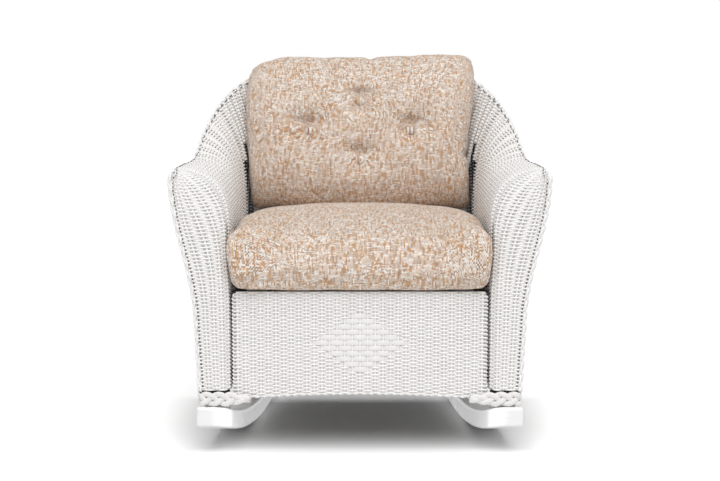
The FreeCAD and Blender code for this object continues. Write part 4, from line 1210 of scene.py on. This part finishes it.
# Floor and light: a white studio floor under even, soft light from above and a little to the right.
# The floor glows outside a soft box round the runners, so that only the shadow under them is grey.
# The camera stands where the photographer did, looking slightly down.
glow_middle = (0.0, -0.1225, 0.0)
glow_half = (0.34, 0.2125, 0.0)
glow_scale = (0.65, 1.3, 0.0)
glow_width = 0.13
glow_low, glow_high = 0.02, 0.32
floor_shape = bmesh.new()
bmesh.ops.create_grid(floor_shape, x_segments=1, y_segments=1, size=30.0)
floor_mesh = bpy.data.meshes.new("floor")
floor_shape.to_mesh(floor_mesh)
floor_shape.free()
floor = bpy.data.objects.new("floor", floor_mesh)
bpy.context.scene.collection.objects.link(floor)
floor_material, floor_tree, floor_shader = start_material("studio_floor", Roughness=0.9)
floor_shader.inputs["Base Color"].default_value = (0.9, 0.9, 0.9, 1)
floor_shader.inputs["Specular IOR Level"].default_value = 0.0
seen = add_node(floor_tree, "ShaderNodeLightPath")
ground = add_node(floor_tree, "ShaderNodeTexCoord")
beyond = ground.outputs["Object"]
for operation, value in (
    ("SUBTRACT", glow_middle),
    ("ABSOLUTE", (0, 0, 0)),
    ("SUBTRACT", glow_half),
    ("MULTIPLY", glow_scale),
):
    step = add_node(floor_tree, "ShaderNodeVectorMath", {0: beyond, 1: value}, operation=operation)
    beyond = step.outputs[0]
sides = add_node(floor_tree, "ShaderNodeSeparateXYZ", {"Vector": beyond}).outputs
beyond = add_node(floor_tree, "ShaderNodeMath", {0: sides["X"], 1: sides["Y"]}, operation="MAXIMUM")
rising = {"From Min": 0.0, "From Max": glow_width, "To Min": glow_low, "To Max": glow_high}
paler = add_node(
    floor_tree,
    "ShaderNodeMapRange",
    {"Value": beyond.outputs[0], **rising},
    interpolation_type="SMOOTHSTEP",
)
glow = add_node(
    floor_tree,
    "ShaderNodeMath",
    {0: seen.outputs["Is Camera Ray"], 1: paler.outputs["Result"]},
    operation="MULTIPLY",
)
floor_shader.inputs["Emission Color"].default_value = (1, 1, 1, 1)
floor_tree.links.new(glow.outputs[0], floor_shader.inputs["Emission Strength"])
floor_mesh.materials.append(floor_material)

world = bpy.data.worlds.new("studio")
bpy.context.scene.world = world
world.use_nodes = True
sky = world.node_tree
sky_light = sky.nodes["Background"]
sky_light.inputs["Color"].default_value = (1, 1, 1, 1)
ray = add_node(sky, "ShaderNodeLightPath")
shown = add_node(sky, "ShaderNodeMath", {0: ray.outputs["Is Camera Ray"], 1: ray.outputs["Is Glossy Ray"]})
shown = add_node(
    sky, "ShaderNodeMath", {0: shown.outputs[0], 1: ray.outputs["Is Transmission Ray"]}, use_clamp=True
)
strength = add_node(sky, "ShaderNodeMapRange", {"Value": shown.outputs[0], "To Min": 0.45, "To Max": 1.0})
sky.links.new(strength.outputs["Result"], sky_light.inputs["Strength"])

key = bpy.data.objects.new("key", bpy.data.lights.new("key", "SUN"))
key.data.energy = 2.1
key.data.angle = math.radians(50)
key.rotation_euler = (math.radians(35), math.radians(3), 0)
bpy.context.scene.collection.objects.link(key)

for name, turn in (("runner_left", 92), ("runner_right", -92)):
    lit = bpy.data.collections.new(name + "_lit")
    lit.objects.link(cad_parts[name])
    low_light = bpy.data.objects.new(name + "_light", bpy.data.lights.new(name + "_light", "SUN"))
    low_light.data.energy = 1.9
    low_light.data.use_shadow = False
    low_light.rotation_euler = (math.radians(82), 0, math.radians(turn))
    low_light.light_linking.receiver_collection = lit
    bpy.context.scene.collection.objects.link(low_light)

camera = bpy.data.objects.new("camera", bpy.data.cameras.new("camera"))
picture_width = 720
focal_pixels = 1578
camera.data.sensor_width = 36.0
camera.data.lens = camera.data.sensor_width * focal_pixels / picture_width
camera.location = (0.0, -4.005, 0.985)
camera_tilt = 7.6
camera.rotation_euler = (math.radians(90 - camera_tilt), 0, 0)
bpy.context.scene.collection.objects.link(camera)
bpy.context.scene.camera = camera
bpy.context.scene.view_settings.view_transform = "Standard"
